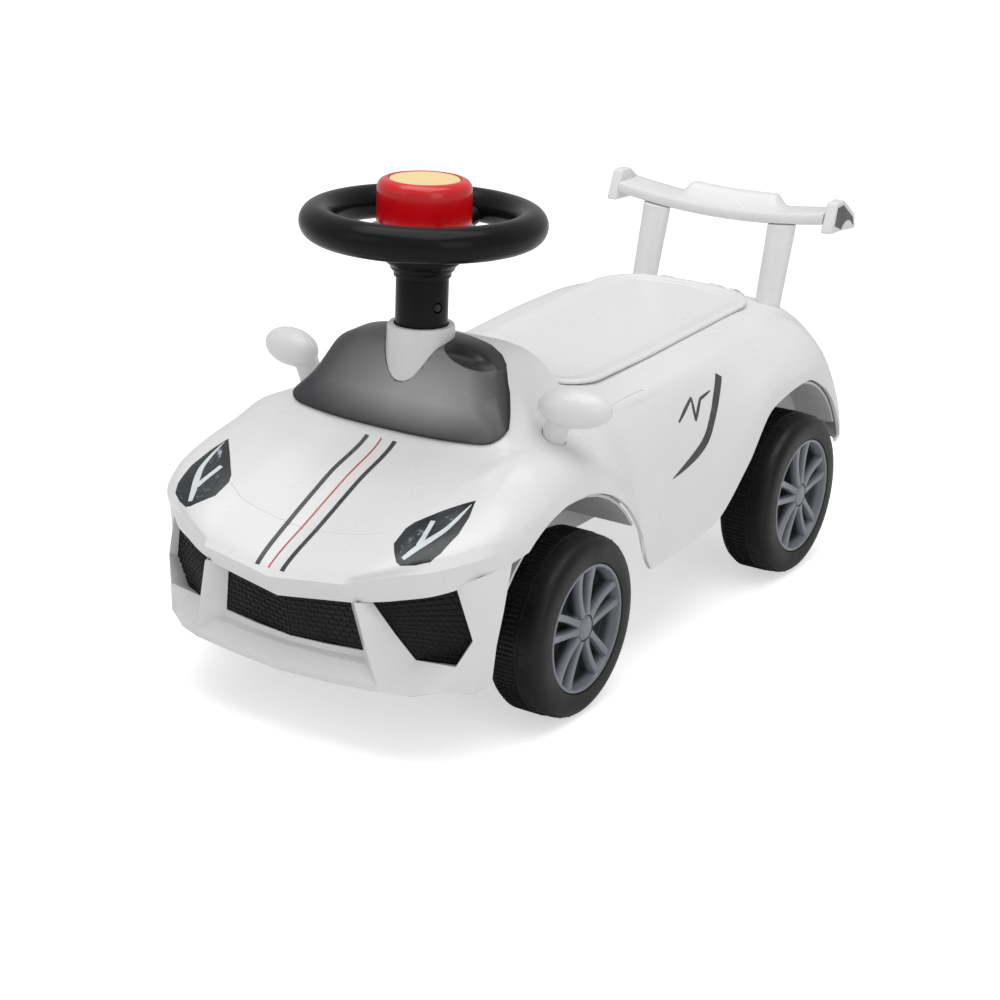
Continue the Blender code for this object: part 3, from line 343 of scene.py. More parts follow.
BODY_HALF = 135.0
ARCH_FRONT = (-166.0, 51.0, 105.0)   # y, z, radius of the wheel arch
ARCH_REAR = (168.0, 62.0, 93.0)
SWEEP_POWER = 1.8
NOSE_POWER = 2.2
BOW_HALF = 72.0          # the rear end of the seat block is bowed within this


def arch_rim(arch, degrees):
    centre_y, centre_z, radius = arch
    angle = math.radians(degrees)
    return centre_y + radius * math.cos(angle), centre_z + radius * math.sin(angle)


def body_row(y_middle, rim, section, power=SWEEP_POWER, bow=0.0):
    """One row: section holds (x, z) out to the flank, rim is (x, y, z) of the lower edge."""
    last = len(section)
    row = []
    for index, (x, z) in enumerate(section):
        weight = (index / last) ** power
        curve = bow * max(0.0, 1.0 - (x / BOW_HALF) ** 2)
        row.append((x, y_middle + curve + (rim[1] - y_middle) * weight, z))
    row.append(rim)
    return row


def front_rim(degrees):
    y, z = arch_rim(ARCH_FRONT, degrees)
    return (BODY_HALF, y, z)


def rear_rim(degrees):
    y, z = arch_rim(ARCH_REAR, degrees)
    return (BODY_HALF, y, z)


def body_rows():
    return [
        # lower and upper edge of the nose lip
        body_row(-318, front_rim(125), [(0, 104), (30, 107), (57, 112), (73, 114), (89, 117),
                                        (106, 121), (119, 125.5), (129.5, 130.5), (134.5, 135)], NOSE_POWER),
        body_row(-327, front_rim(120), [(0, 120), (30, 122.5), (57, 127), (75, 132), (92, 136),
                                        (110, 140), (123, 143.5), (132, 145.5), (136, 145.5)], NOSE_POWER),
        body_row(-321, front_rim(115), [(0, 125), (30, 127.5), (57, 132.5), (74, 138), (90, 143),
                                        (109, 148), (122, 151), (131.5, 152.5), (135.8, 151)], NOSE_POWER),
        # bonnet
        body_row(-285, front_rim(106), [(0, 143), (30, 146), (57, 151.5), (73, 156), (89, 160.5),
                                        (106, 164), (121, 164.5), (131, 162), (135.3, 158)], 2.0),
        body_row(-245, front_rim(96), [(0, 163), (31, 165.5), (59, 170), (75, 173), (91, 175.5),
                                       (106, 176), (119, 174), (128.5, 170), (133.5, 164)]),
        # foot of the windscreen
        body_row(-203, front_rim(84), [(0, 183), (31, 184.5), (60, 187), (86, 188.3), (98, 188),
                                       (109, 186.5), (120, 182), (129, 175), (134, 166)]),
        body_row(-200, front_rim(81), [(0, 187), (31, 188.5), (59, 190.5), (85, 191), (97, 189),
                                       (108, 187), (120, 182), (129, 175), (134, 166)]),
        # middle and top of the windscreen
        body_row(-184, front_rim(67), [(0, 214), (30, 214.5), (56, 214.5), (73, 211), (86, 200),
                                       (103, 188), (118, 182), (128.5, 174), (134, 162)]),
        body_row(-168, front_rim(53), [(0, 240), (30, 240), (50, 238.5), (64, 233), (79, 212),
                                       (99, 189), (115, 181), (127.5, 170), (133.5, 152)]),
        # scuttle, falling to the seat
        body_row(-150, front_rim(40), [(0, 244), (30, 243), (50, 240), (63, 233), (79, 209),
                                       (97, 188), (113, 178), (126, 162), (133, 138)]),
        body_row(-110, front_rim(27), [(0, 236), (28, 236), (48, 233.5), (62, 226), (81, 203),
                                       (95, 186), (111, 172), (124, 150), (132, 122)]),
        body_row(-84, front_rim(16), [(0, 206), (28, 206), (50, 204.5), (65, 199), (86, 188),
                                      (95, 181.5), (109, 165), (122, 138), (131, 106)]),
        # seat block: flat ledge under the lid, wall down to the shoulder line
        body_row(-52, (BODY_HALF, -56, 71), [(0, 191), (30, 191), (56, 190.5), (65, 189.5), (90, 183.5),
                                             (95, 179), (108, 160), (121, 132), (131, 100)]),
        body_row(40, (BODY_HALF, 34, 76), [(0, 192.5), (30, 192.5), (60, 192.5), (69, 191.5), (94, 186),
                                           (99, 181.5), (111, 160), (123, 131), (132, 102)]),
        body_row(95, rear_rim(150), [(0, 195), (30, 195), (62, 195), (71, 194), (95, 189),
                                     (101, 185), (115, 168), (127, 148), (133.5, 129)]),
        body_row(140, rear_rim(115), [(0, 197), (30, 197), (63, 197), (72, 196), (96, 190.5),
                                      (102, 187), (118, 176), (129.5, 165), (134, 156)]),
        body_row(185, rear_rim(80), [(0, 199), (30, 199), (62, 199), (71, 198), (95, 191.5),
                                     (103, 187.5), (119, 178), (130, 167), (134.5, 159.5)]),
        body_row(222, rear_rim(56), [(0, 200.6), (30, 200.3), (54, 199.5), (65, 198), (89, 190.5),
                                     (103, 186), (119, 175), (129.5, 163), (134.5, 151)], SWEEP_POWER, 16),
        # rear deck and tail
        body_row(232, rear_rim(46), [(0, 191), (30, 191), (56, 190.5), (70, 190), (88, 188),
                                     (102, 183), (118, 171.5), (129, 157), (134.3, 143)], SWEEP_POWER, 13),
        body_row(266, rear_rim(32), [(0, 190), (30, 190), (56, 188.5), (71, 185.5), (86, 179.5),
                                     (100, 170), (114, 156), (124.5, 140), (131.5, 124)]),
        body_row(283, rear_rim(23), [(0, 177), (30, 176.5), (57, 174), (73, 169.5), (87, 162),
                                     (101, 151.5), (114, 138.5), (124.5, 124), (131.5, 110)]),
        body_row(292, rear_rim(17), [(0, 130), (30, 130), (58, 128), (74, 125), (88, 120.5),
                                     (102, 114.5), (115, 107.5), (125, 100.5), (131.5, 94.5)]),
        body_row(288, (BODY_HALF - 1.5, 252, 84), [(0, 84), (30, 84), (58, 84), (74, 84), (88, 84),
                                                   (102, 84), (115, 84), (125, 84), (131, 84)]),
    ]


def slope(before, after, gap_before, gap_after):
    """Slope at a point that never overshoots its neighbours."""
    if before * after <= 0:
        return 0.0
    heavy = 2 * gap_after + gap_before
    light = gap_after + 2 * gap_before
    return (heavy + light) / (heavy / before + light / after)


def smooth_line(points, steps):
    """A curve through the points, with the same number of steps in each span."""
    places = [0.0]
    for first, second in zip(points, points[1:]):
        places.append(places[-1] + max(1e-6, (Vector(second) - Vector(first)).length))
    gaps = [b - a for a, b in zip(places, places[1:])]
    columns = []
    for axis in range(3):
        values = [point[axis] for point in points]
        rises = [(b - a) / gap for a, b, gap in zip(values, values[1:], gaps)]
        slopes = [rises[0]]
        for i in range(1, len(values) - 1):
            slopes.append(slope(rises[i - 1], rises[i], gaps[i - 1], gaps[i]))
        slopes.append(rises[-1])
        line = []
        for i, gap in enumerate(gaps):
            for step in range(steps):
                t = step / steps
                line.append((1 + 2 * t) * (1 - t) ** 2 * values[i] + t * (1 - t) ** 2 * gap * slopes[i]
                            + t * t * (3 - 2 * t) * values[i + 1]
                            + t * t * (t - 1) * gap * slopes[i + 1])
        line.append(values[-1])
        columns.append(line)
    return [tuple(column[i] for column in columns) for i in range(len(columns[0]))]


def surface_grid(rows, along, across):
    """Points of the loft: along steps between rows, across steps between columns."""
    wide = [smooth_line(row, across) for row in rows]
    lines = [smooth_line([row[i] for row in wide], along) for i in range(len(wide[0]))]
    return [[line[i] for line in lines] for i in range(len(lines[0]))]


BODY_STEPS = 8           # steps between two rows or columns of control points
BODY_GRID = surface_grid(body_rows(), BODY_STEPS, BODY_STEPS)


def half_sheet(grid, side=1):
    """Points and faces of one side of a sheet, through a grid of points in millimetres."""
    points = [mm(side * x, y, z) for row in grid for x, y, z in row]
    faces = band_faces(len(grid), len(grid[0]), False)
    return points, faces if side > 0 else [face[::-1] for face in faces]


def both_sides(grid):
    points, faces = half_sheet(grid)
    more, others = half_sheet(grid, -1)
    faces += [tuple(len(points) + i for i in face) for face in others]
    return welded(mesh_of("sheet", points + more, faces))


def smooth_step(value):
    value = min(1.0, max(0.0, value))
    return value * value * (3.0 - 2.0 * value)


def sharpen_nose(grid):
    """The lip is folded, not rounded: flat bands below and above its edge, and a shallow V in the middle."""
    last_row = 2 * BODY_STEPS
    for first in (0, BODY_STEPS):
        for i in range(first + 1, first + BODY_STEPS):
            share = (i - first) / BODY_STEPS
            grid[i] = [tuple(Vector(a).lerp(Vector(b), share))
                       for a, b in zip(grid[first], grid[first + BODY_STEPS])]
    for i in range(last_row + 2 * BODY_STEPS):
        strength = 1.0 - smooth_step((i - last_row) / (2 * BODY_STEPS))
        start, end = Vector(grid[i][0]), Vector(grid[i][NOSE_COLUMN])
        for j in range(NOSE_COLUMN):
            straight = start.lerp(end, j / NOSE_COLUMN)
            grid[i][j] = tuple(Vector(grid[i][j]).lerp(straight, strength))
    return grid


def nose_detail(row, x, y, z):
    """The lip has a proud middle bar, and two thin steps outside it."""
    if row > 2 * BODY_STEPS or x > 118.0:
        return x, y, z
    rise = row / BODY_STEPS
    bar = 1.0 - smooth_step((x - 57.5) / 3.0)
    on_face = 1.0 - smooth_step((rise - 1.0) / 0.8)
    fade = (1.0 - bar) * (1.0 - smooth_step((x - 86.0) / 22.0))
    steps = smooth_step((0.45 - rise) / 0.08) + smooth_step((0.78 - rise) / 0.08)
    return x, y + on_face * fade * (4.2 - 1.2 * steps), z


NOSE_COLUMN = 2 * BODY_STEPS


def body_mesh():
    grid = sharpen_nose([list(row) for row in BODY_GRID])
    return both_sides([[nose_detail(i, *point) for point in row] for i, row in enumerate(grid)])


def outer_skin():
    """A tree of the shell's outer faces, for laying stickers and grooves on it."""
    shape = bmesh.new()
    shape.from_mesh(BODY_SKIN)
    tree = BVHTree.FromBMesh(shape)
    shape.free()
    return tree


BODY_SKIN = body_mesh()
SKIN_TREE = outer_skin()


def rounded_rectangle(half_x, y_front, y_rear, corner, steps=8):
    outline = []
    centres = ((half_x - corner, y_rear - corner, 0), (-half_x + corner, y_rear - corner, 90),
               (-half_x + corner, y_front + corner, 180), (half_x - corner, y_front + corner, 270))
    for centre_x, centre_y, start in centres:
        for step in range(steps + 1):
            angle = math.radians(start + 90.0 * step / steps)
            outline.append((centre_x + corner * math.cos(angle), centre_y + corner * math.sin(angle)))
    return outline


def extruded(outline, low, high, across='Z'):
    """A flat outline of (a, b) pushed between two heights along an axis."""
    order = {'X': lambda a, b, h: mm(h, a, b), 'Z': lambda a, b, h: mm(a, b, h)}[across]
    return skinned("extruded", [[order(a, b, height) for a, b in outline] for height in (low, high)])


def rounded(profile, closed=False, radius=1.0, steps=3):
    """Ease the corners of a profile with small arcs; corners on the axis stay."""
    count = len(profile)
    result = []
    for i, (x, y) in enumerate(profile):
        ends = not closed and i in (0, count - 1)
        before = Vector(profile[i - 1]) - Vector((x, y))
        after = Vector(profile[(i + 1) % count]) - Vector((x, y))
        reach = min(radius, before.length * 0.45, after.length * 0.45)
        if ends or x < 0.01 or reach < 0.02:
            result.append((x, y))
            continue
        first = Vector((x, y)) + before.normalized() * reach
        last = Vector((x, y)) + after.normalized() * reach
        for step in range(steps + 1):
            t = step / steps
            point = first * (1 - t) ** 2 + Vector((x, y)) * 2 * t * (1 - t) + last * t * t
            result.append((point.x, point.y))
    return result


def lathe(profile, place=Vector((0, 0, 0)), axis=Vector((0, 0, 1)), steps=96, closed=False, ease=0.6):
    """Revolve a profile of (radius, height) in millimetres about an axis, with its corners eased."""
    turn = Matrix.Translation(place) @ axis.to_track_quat('Z', 'Y').to_matrix().to_4x4()
    eased = [(radius / 1000.0, height / 1000.0) for radius, height in rounded(profile, closed, ease)]
    count = len(eased)
    points = []
    for step in range(steps):
        angle = 2.0 * math.pi * step / steps
        points += [turn @ Vector((radius * math.cos(angle), radius * math.sin(angle), height))
                   for radius, height in eased]
    faces = [tuple(i % (steps * count) for i in face) for face in band_faces(steps + 1, count, closed)]
    return joined("turned", [mesh_of("turned", points, faces)], True, LATHE_WELD)


def bar_between(start, end, radius, end_radius, sides=48):
    """A round bar between two points in millimetres."""
    foot = mm(*start)
    axis = mm(*end) - foot
    length = axis.length * 1000.0
    return lathe([(0.0, length), (end_radius, length), (radius, 0.0), (0.0, 0.0)], foot, axis, sides, False, 0.01)


def path_tube(points, radius, sides=10):
    """A thin closed tube along points in metres, for cutting a groove."""
    rings = []
    for i, point in enumerate(points):
        ahead = points[min(i + 1, len(points) - 1)] - points[max(i - 1, 0)]
        side = ahead.cross(Vector((0, 0, 1))).normalized()
        top = side.cross(ahead).normalized()
        rings.append([point + side * radius * math.cos(2 * math.pi * k / sides)
                      + top * radius * math.sin(2 * math.pi * k / sides) for k in range(sides)])
    return skinned("tube", rings)


def on_skin(x, y, z, lift=0.0):
    """The nearest point of the body's outer skin, raised by lift millimetres."""
    place, normal, _, _ = SKIN_TREE.find_nearest(mm(x, y, z))
    return place + normal * (lift / 1000.0), normal


COLUMN_TILT = 1.0        # degrees, towards the driver
COLUMN_Y = -158.0        # where the column leaves the collar
COLLAR_TOP = 253.0
COLUMN_AXIS = Vector((0, math.sin(math.radians(COLUMN_TILT)), math.cos(math.radians(COLUMN_TILT))))


def on_column(height):
    """Point of the steering axis at a height, in millimetres."""
    lean = math.tan(math.radians(COLUMN_TILT))
    return (0.0, COLUMN_Y + (height - COLLAR_TOP) * lean, height)


def on_axis(profile, steps=96, closed=False, ease=0.6):
    """Turn a profile about the steering axis; heights count from the ground along it."""
    return lathe(profile, mm(*on_column(0.0)), COLUMN_AXIS, steps, closed, ease)


MIRROR_PLACE = (119.5, -149.0, 212.3)
POST_X = 59.0
POST_FOOT = (258.0, 176.0)
POST_HEAD = (278.0, 250.4)
POST_WIDE = 1.08         # posts are oval: wider across the car than along it
POST_DEEP = 0.80

SIDES = {"left": 1.0, "right": -1.0}
SHELL_WALL = 0.0025      # metres
COLLAR_HOLE = [(0.0, 265), (23.9, 265), (23.9, 251), (25.9, 206), (25.9, 186), (0.0, 186)]
BIN_OPENING = (54, -30, 198, 16)     # half width, front, rear, corner
POST_GAP = 0.3
GROOVES = [              # line on the skin, rise of the cutter, its radius
    ([(91.1, -47.5, 183.4), (91.0, -30.0, 184.0), (91.8, -6.0, 184.8)], 0.4, 1.1),
    ([(27.0, -131.5, 242.6), (40.0, -113.5, 235.6), (54.5, -101.0, 230.0)], -0.1, 0.9),
    ([(119.6, -24.6, 137.0), (123.6, -28.8, 125.0), (127.2, -33.0, 115.7), (131.9, -41.1, 95.4)], 0.3, 0.8)]
BONNET_LINE = [(0.0, -289.0, 142.0), (38.5, -287.3, 145.4), (55.0, -285.0, 149.5), (71.1, -277.6, 154.6)]


def post_ring(side, share, grown, count):
    """A level oval section of a leaning post, at a share of the way from its foot to its head."""
    radius = 10.0 + 1.4 * share
    y = POST_FOOT[0] + (POST_HEAD[0] - POST_FOOT[0]) * share
    z = POST_FOOT[1] + (POST_HEAD[1] - POST_FOOT[1]) * share
    angles = [2 * math.pi * index / count for index in range(count)]
    return [mm(side * POST_X + (radius * POST_WIDE + grown) * math.cos(angle),
               y + (radius * POST_DEEP + grown) * math.sin(angle), z) for angle in angles]


def groove(corners, steps, lift, radius):
    """A tube along the skin, raised by lift; it cuts a groove."""
    return path_tube([on_skin(*point, lift)[0] for point in smooth_line(corners, steps)], radius / 1000.0)


def body_cutters():
    cutters = [on_axis(COLLAR_HOLE), extruded(rounded_rectangle(*BIN_OPENING), 150, 230)]
    for side in SIDES.values():
        cutters.append(bar_between((side * 99, -145, 176), (side * 107, -148, 204), 8.8, 9.3))
        cutters.append(skinned("post_hole", [post_ring(side, share, POST_GAP, 48) for share in (0.0, 1.0)]))
        for line, lift, radius in GROOVES:
            cutters.append(groove([(side * x, y, z) for x, y, z in line], 8, lift, radius))
    bonnet = [(-x, y, z) for x, y, z in BONNET_LINE[:0:-1]] + BONNET_LINE
    cutters.append(groove(bonnet, 6, 0.45, 0.8))
    return cutters


def make_body_shell():
    wall = modified(BODY_SKIN, ('SOLIDIFY', {"thickness": SHELL_WALL, "offset": -1.0, "use_even_offset": True}))
    shell = cut_away(joined("body_shell", [wall], True), body_cutters())
    add_piece("body_skin", shell, WHITE_PLASTIC, "body", ("body_shell",), 32.0, False)


make_body_shell()


# Stickers on the shell: printed vinyl 0.15 mm thick, laid on after moulding.
# Three racing stripes run up the bonnet, each lamp is a printed picture of a lens,
# and a curved stroke with a small zigzag decorates each flank.

def printed_vinyl(name, colour, worn_colour):
    """Ink under clear film: faint print dots, small scratches and a slightly uneven gloss."""
    material, tree, shader = new_finish(name)
    wear = spread(tree, cloud(tree, 70.0, 6.0, 0.7), 0.0, 1.0, 0.52, 0.80)
    set_inputs(tree, shader, {"Base Color": between(tree, wear, colour, worn_colour),
                              "Roughness": spread(tree, cloud(tree, 150.0), 0.18, 0.32),
                              "Normal": relief(tree, cloud(tree, 900.0, 1.0), 0.25, 0.02)})
    return material


STRIPE_GREY = printed_vinyl("stripe_grey", (0.040, 0.046, 0.046), (0.085, 0.09, 0.09))
STRIPE_RED = printed_vinyl("stripe_red", (0.46, 0.055, 0.065), (0.55, 0.12, 0.12))
FLANK_GREY = printed_vinyl("flank_grey", (0.055, 0.056, 0.058), (0.11, 0.112, 0.115))
LENS_BLACK = printed_vinyl("lens_black", (0.020, 0.023, 0.025), (0.045, 0.05, 0.052))
LENS_ARM = printed_vinyl("lens_arm", (0.66, 0.71, 0.73), (0.56, 0.61, 0.63))


def speckled_lens():
    """Printed lens cells: a bluish dark ground with a few bright facets."""
    material, tree, shader = new_finish("lens_glass")
    cells = add_node(tree, "ShaderNodeTexVoronoi", {"Vector": object_place(tree), "Scale": 260.0})
    bright = spread(tree, cells.outputs["Distance"], 0.0, 1.0, 0.75, 0.30)
    patches = spread(tree, cloud(tree, 130.0, 4.0, 0.65), 0.0, 1.0, 0.52, 0.66)
    both = add_node(tree, "ShaderNodeMath", {0: bright, 1: patches}, operation='MULTIPLY')
    colour = between(tree, both.outputs["Value"], (0.035, 0.042, 0.050), (0.42, 0.48, 0.52))
    set_inputs(tree, shader, {"Base Color": colour, "Roughness": spread(tree, cloud(tree, 200.0), 0.12, 0.25)})
    return material


LENS_GLASS = speckled_lens()
VINYL = 0.15             # how far a sticker stands off the skin
FILM_WALL = 0.0003       # metres, part of it sunk in the skin
RIBBON_CELLS = 4         # faces across a ribbon


def ribbon(name, path, widths, material, lift=VINYL, steps=10):
    """A sticker along a path of (x, y, z), with its full width at each path point."""
    line = smooth_line(path, steps)
    broad = smooth_line([(width, 0.0, index * 50.0) for index, width in enumerate(widths)], steps)
    points = []
    for i, place in enumerate(line):
        here, normal = on_skin(*place)
        ahead = Vector(line[min(i + 1, len(line) - 1)]) - Vector(line[max(i - 1, 0)])
        side = normal.cross(ahead).normalized()
        for k in range(RIBBON_CELLS + 1):
            offset = side * ((k / RIBBON_CELLS - 0.5) * broad[i][0] / 1000.0)
            spot, outward, _, _ = SKIN_TREE.find_nearest(here + offset)
            points.append(spot + outward * (lift / 1000.0))
    return film(name, points, band_faces(len(line), RIBBON_CELLS + 1, False), material)


def film(name, points, faces, material):
    """Turn an open patch into a thin film and put it on the body."""
    mesh = mesh_of(name, points, faces)
    _, outward, _, _ = SKIN_TREE.find_nearest(sum(points, Vector((0, 0, 0))) / len(points))
    if mesh.polygons[0].normal.dot(outward) < 0:
        mesh.flip_normals()
    mesh = modified(mesh, ('SOLIDIFY', {"thickness": FILM_WALL, "offset": -1.0}))
    return add_piece(name, mesh, material, "body", (), 60.0)


def patch(name, outline, material, lift=VINYL, cell=2.0):
    """A sticker with an outline of (x, y, z) points, filled with small faces that follow the skin."""
    centre = sum((Vector(point) for point in outline), Vector((0, 0, 0))) / len(outline)
    _, normal = on_skin(*centre)
    side = normal.cross(Vector((0, 0, 1))).normalized()
    top = side.cross(normal).normalized()
    shape = bmesh.new()
    corners = []
    for point in outline:
        away = Vector(point) - centre
        corners.append(shape.verts.new(Vector((away.dot(side), away.dot(top), 0.0))))
    shape.faces.new(corners)
    low = [min(vert.co[axis] for vert in shape.verts) for axis in range(2)]
    high = [max(vert.co[axis] for vert in shape.verts) for axis in range(2)]
    for axis in range(2):
        count = int((high[axis] - low[axis]) / cell)
        for step in range(1, count + 1):
            spot = Vector((0, 0, 0))
            spot[axis] = low[axis] + step * cell
            way = Vector((0, 0, 0))
            way[axis] = 1.0
            everything = list(shape.verts) + list(shape.edges) + list(shape.faces)
            bmesh.ops.bisect_plane(shape, geom=everything, plane_co=spot, plane_no=way)
    bmesh.ops.triangulate(shape, faces=shape.faces)
    middle = mm(*centre)
    for vert in shape.verts:
        flat = middle + (side * vert.co.x + top * vert.co.y) / 1000.0
        spot, outward, _, _ = SKIN_TREE.ray_cast(flat + normal * 0.03, -normal)
        if spot is None:
            spot, outward, _, _ = SKIN_TREE.find_nearest(flat)
        vert.co = spot + outward * (lift / 1000.0)
    points = [vert.co.copy() for vert in shape.verts]
    shape.verts.index_update()
    faces = [tuple(vert.index for vert in face.verts) for face in shape.faces]
    shape.free()
    return film(name, points, faces, material)


def lay_stripes():
    bonnet = ((-204.8, 182.0), (-243.0, 164.5), (-280.0, 146.5), (-303.0, 135.5), (-323.0, 124.5))
    for label, xs, width, material in (
            ("right", (-10.9, -13.8, -14.2, -13.4, -12.6), 3.4, STRIPE_GREY),
            ("middle", (0.8, -0.8, -2.2, -3.0, -3.4), 1.3, STRIPE_RED),
            ("left", (12.1, 10.4, 9.3, 8.4, 7.6), 3.6, STRIPE_GREY)):
        path = [(x, y, z) for x, (y, z) in zip(xs, bonnet)]
        ribbon("stripe_" + label, path, [width] * len(path), material)


LAMP_OUTLINE = [(102.8, -241.6, 170.2), (107.5, -256.0, 164.5), (110.0, -272.4, 157.5), (108.2, -288.8, 149.8),
                (104.8, -296.0, 146.0), (97.0, -301.0, 143.5), (88.2, -304.6, 141.6), (84.6, -303.8, 142.6),
                (79.0, -298.0, 145.4), (73.6, -291.2, 148.9), (73.0, -277.4, 155.0), (75.6, -271.6, 157.6),
                (90.4, -255.2, 165.6)]


def lay_lamps():
    for label, side in SIDES.items():
        def mirrored(points):
            return [(side * x, y, z) for x, y, z in points]
        patch("lamp_lens_" + label, mirrored(LAMP_OUTLINE), LENS_BLACK)
        patch("lamp_glass_" + label, mirrored([(79.5, -290.5, 149.5), (81.0, -274.5, 156.6), (86.6, -268.4, 159.4),
                                               (91.2, -284.0, 153.2), (86.2, -296.6, 146.6), (83.0, -297.6, 145.8)]),
              LENS_GLASS, VINYL + 0.1, 1.6)
        patch("lamp_mirror_" + label, mirrored([(90.6, -269.0, 159.6), (94.6, -259.8, 163.8), (100.2, -250.0, 167.6),
                                                (101.6, -257.0, 164.8), (99.2, -270.6, 159.2), (94.8, -281.2, 154.4)]),
              LENS_GLASS, VINYL + 0.1, 1.6)
        ribbon("lamp_arm_" + label, mirrored([(87.4, -300.6, 144.4), (91.0, -292.6, 148.8), (95.6, -284.0, 153.4),
                                              (100.6, -271.3, 159.1), (102.0, -259.2, 163.8),
                                              (102.6, -246.4, 168.4)]),
               [3.0, 4.4, 4.6, 3.4, 2.4, 0.5], LENS_ARM, VINYL + 0.25, 6)
        ribbon("lamp_branch_" + label, mirrored([(91.6, -289.0, 150.8), (89.8, -279.0, 155.4),
                                                 (87.6, -267.6, 160.2)]),
               [4.2, 3.4, 3.4], LENS_ARM, VINYL + 0.2, 6)


def lay_flanks():
    for label, side in SIDES.items():
        stroke = [(107.0, 84.2, 177.4), (112.6, 72.0, 166.0), (116.8, 60.0, 153.6), (120.4, 44.6, 139.8),
                  (121.6, 34.8, 135.2), (123.0, 10.6, 128.8), (124.1, -12.3, 124.6)]
        ribbon("flank_stroke_" + label, [(side * x, y, z) for x, y, z in stroke],
               [6.6, 6.6, 6.2, 6.4, 6.2, 4.2, 0.6], FLANK_GREY)
        zigzag = [(111.1, 16.7, 157.7), (106.6, 42.2, 169.8), (113.9, 38.3, 153.9), (109.1, 52.0, 166.7),
                  (109.5, 66.8, 169.7)]
        for index, (first, after) in enumerate(zip(zigzag, zigzag[1:])):
            middle = tuple((a + b) / 2 for a, b in zip(first, after))
            ribbon("flank_zigzag_%s_%d" % (label, index + 1), [(side * x, y, z) for x, y, z in (first, middle, after)],
                   [1.6, 3.0, 2.4] if index < 3 else [2.4, 2.0, 0.8], FLANK_GREY, VINYL + 0.05 * (index % 2), 5)


lay_stripes()
lay_lamps()
lay_flanks()


# Windscreen: a smoked panel 1.2 mm thick, glued on the slope in front of the driver.
# Its print fades from dark edges to a lighter middle, with a darker crescent high on one side.

SCREEN_FOOT = Vector((0.0, -200.0, 187.0))
SCREEN_SLOPE = Vector((0.0, 0.66, 0.751))
SCREEN_NORMAL = Vector((0.0, -0.751, 0.66))
SCREEN_HEIGHT = 83.0
SCREEN_SIDE = [(0.0, 76.0), (0.012, 80.6), (0.035, 84.0), (0.07, 86.0), (0.12, 87.0), (0.19, 86.4), (0.36, 81.0),
               (0.55, 75.0), (0.70, 69.0), (0.79, 64.6), (0.87, 58.5), (0.94, 47.3), (0.985, 29.2), (1.0, 20.0)]
SCREEN_WALL = 1.2
SCREEN_STEPS = 56


def screen_half(share):
    """Half of the panel's width at a share of its height."""
    for (low, first), (high, last) in zip(SCREEN_SIDE, SCREEN_SIDE[1:]):
        if share <= high:
            return first + (last - first) * (share - low) / (high - low)
    return SCREEN_SIDE[-1][1]


def screen_point(x, share, lift):
    """A point over the body, found by looking in square to the slope."""
    along = SCREEN_HEIGHT * share + (1.0 - share) * 8.0 * (abs(x) / 90.0) ** 3
    start = SCREEN_FOOT + SCREEN_SLOPE * along + Vector((x, 0.0, 0.0))
    hit, normal, _, _ = SKIN_TREE.ray_cast(mm(*(start + SCREEN_NORMAL * 30.0)), -SCREEN_NORMAL)
    return hit + normal * (lift / 1000.0)


def make_windscreen():
    points = []
    rims = []
    across = [math.sin(math.pi / 2 * j / SCREEN_STEPS) for j in range(-SCREEN_STEPS, SCREEN_STEPS + 1)]
    for i in range(SCREEN_STEPS + 1):
        share = 0.5 - 0.5 * math.cos(math.pi * i / SCREEN_STEPS)
        half = screen_half(share)
        for part in across:
            points.append(screen_point(part * half, share, 0.5 + SCREEN_WALL))
            rims.append(min(half * (1.0 - abs(part)), SCREEN_HEIGHT * min(share, 1.0 - share)))
    mesh = mesh_of("screen", points, band_faces(SCREEN_STEPS + 1, len(across), False))
    layer = mesh.attributes.new("rim_distance", 'FLOAT', 'POINT')
    layer.data.foreach_set("value", rims)
    mesh = modified(mesh, ('SOLIDIFY', {"thickness": SCREEN_WALL / 1000.0, "offset": -1.0}))
    mesh = cut_away(mesh, [on_axis(COLLAR_HOLE)])
    add_piece("windscreen", mesh, SMOKED_PRINT, "body", ("windscreen_panel",), 40.0, False)


def soft_ball(tree, location, scale, rotation=(0.0, 0.0, 0.0)):
    """A soft round patch, 1 in its middle and 0 at its rim; it runs through along y."""
    where = placed(tree, 'TEXTURE', Location=location, Scale=scale, Rotation=rotation)
    return add_node(tree, "ShaderNodeTexGradient", {"Vector": where}, gradient_type='SPHERICAL').outputs["Fac"]


def smoked_print():
    """Dark print with a glow low in the middle, a dark crescent high on one side and a darker border."""
    material, tree, shader = new_finish("smoked_print")
    glow = soft_ball(tree, (0.018, 0.0, 0.206), (0.092, 1000.0, 0.062))
    crescent = soft_ball(tree, (0.048, 0.0, 0.2575), (0.040, 1000.0, 0.0245), (0.0, 0.30, 0.0))
    rim = add_node(tree, "ShaderNodeAttribute", attribute_name="rim_distance").outputs["Fac"]
    dust = cloud(tree, 60.0, 6.0, 0.7)
    colour = between(tree, spread(tree, glow, 0.0, 1.0, 0.0, 0.8), (0.060, 0.061, 0.066), (0.37, 0.37, 0.373))
    for share, over in ((spread(tree, crescent, 0.0, 1.0, 0.0, 0.03), (0.028, 0.028, 0.030)),
                        (spread(tree, rim, 0.94, 0.0, 0.0, 24.0), (0.030, 0.030, 0.033)),
                        (spread(tree, rim, 1.0, 0.0, 0.6, 2.2), (0.018, 0.018, 0.020)),
                        (spread(tree, dust, 0.0, 0.06, 0.5, 0.8), (0.4, 0.4, 0.4))):
        colour = between(tree, share, colour, over)
    set_inputs(tree, shader, {"Base Color": colour, "Roughness": spread(tree, cloud(tree, 45.0, 4.0), 0.22, 0.34),
                              "Normal": relief(tree, cloud(tree, 700.0, 1.0), 0.2, 0.02),
                              "Specular IOR Level": 0.35})
    return material


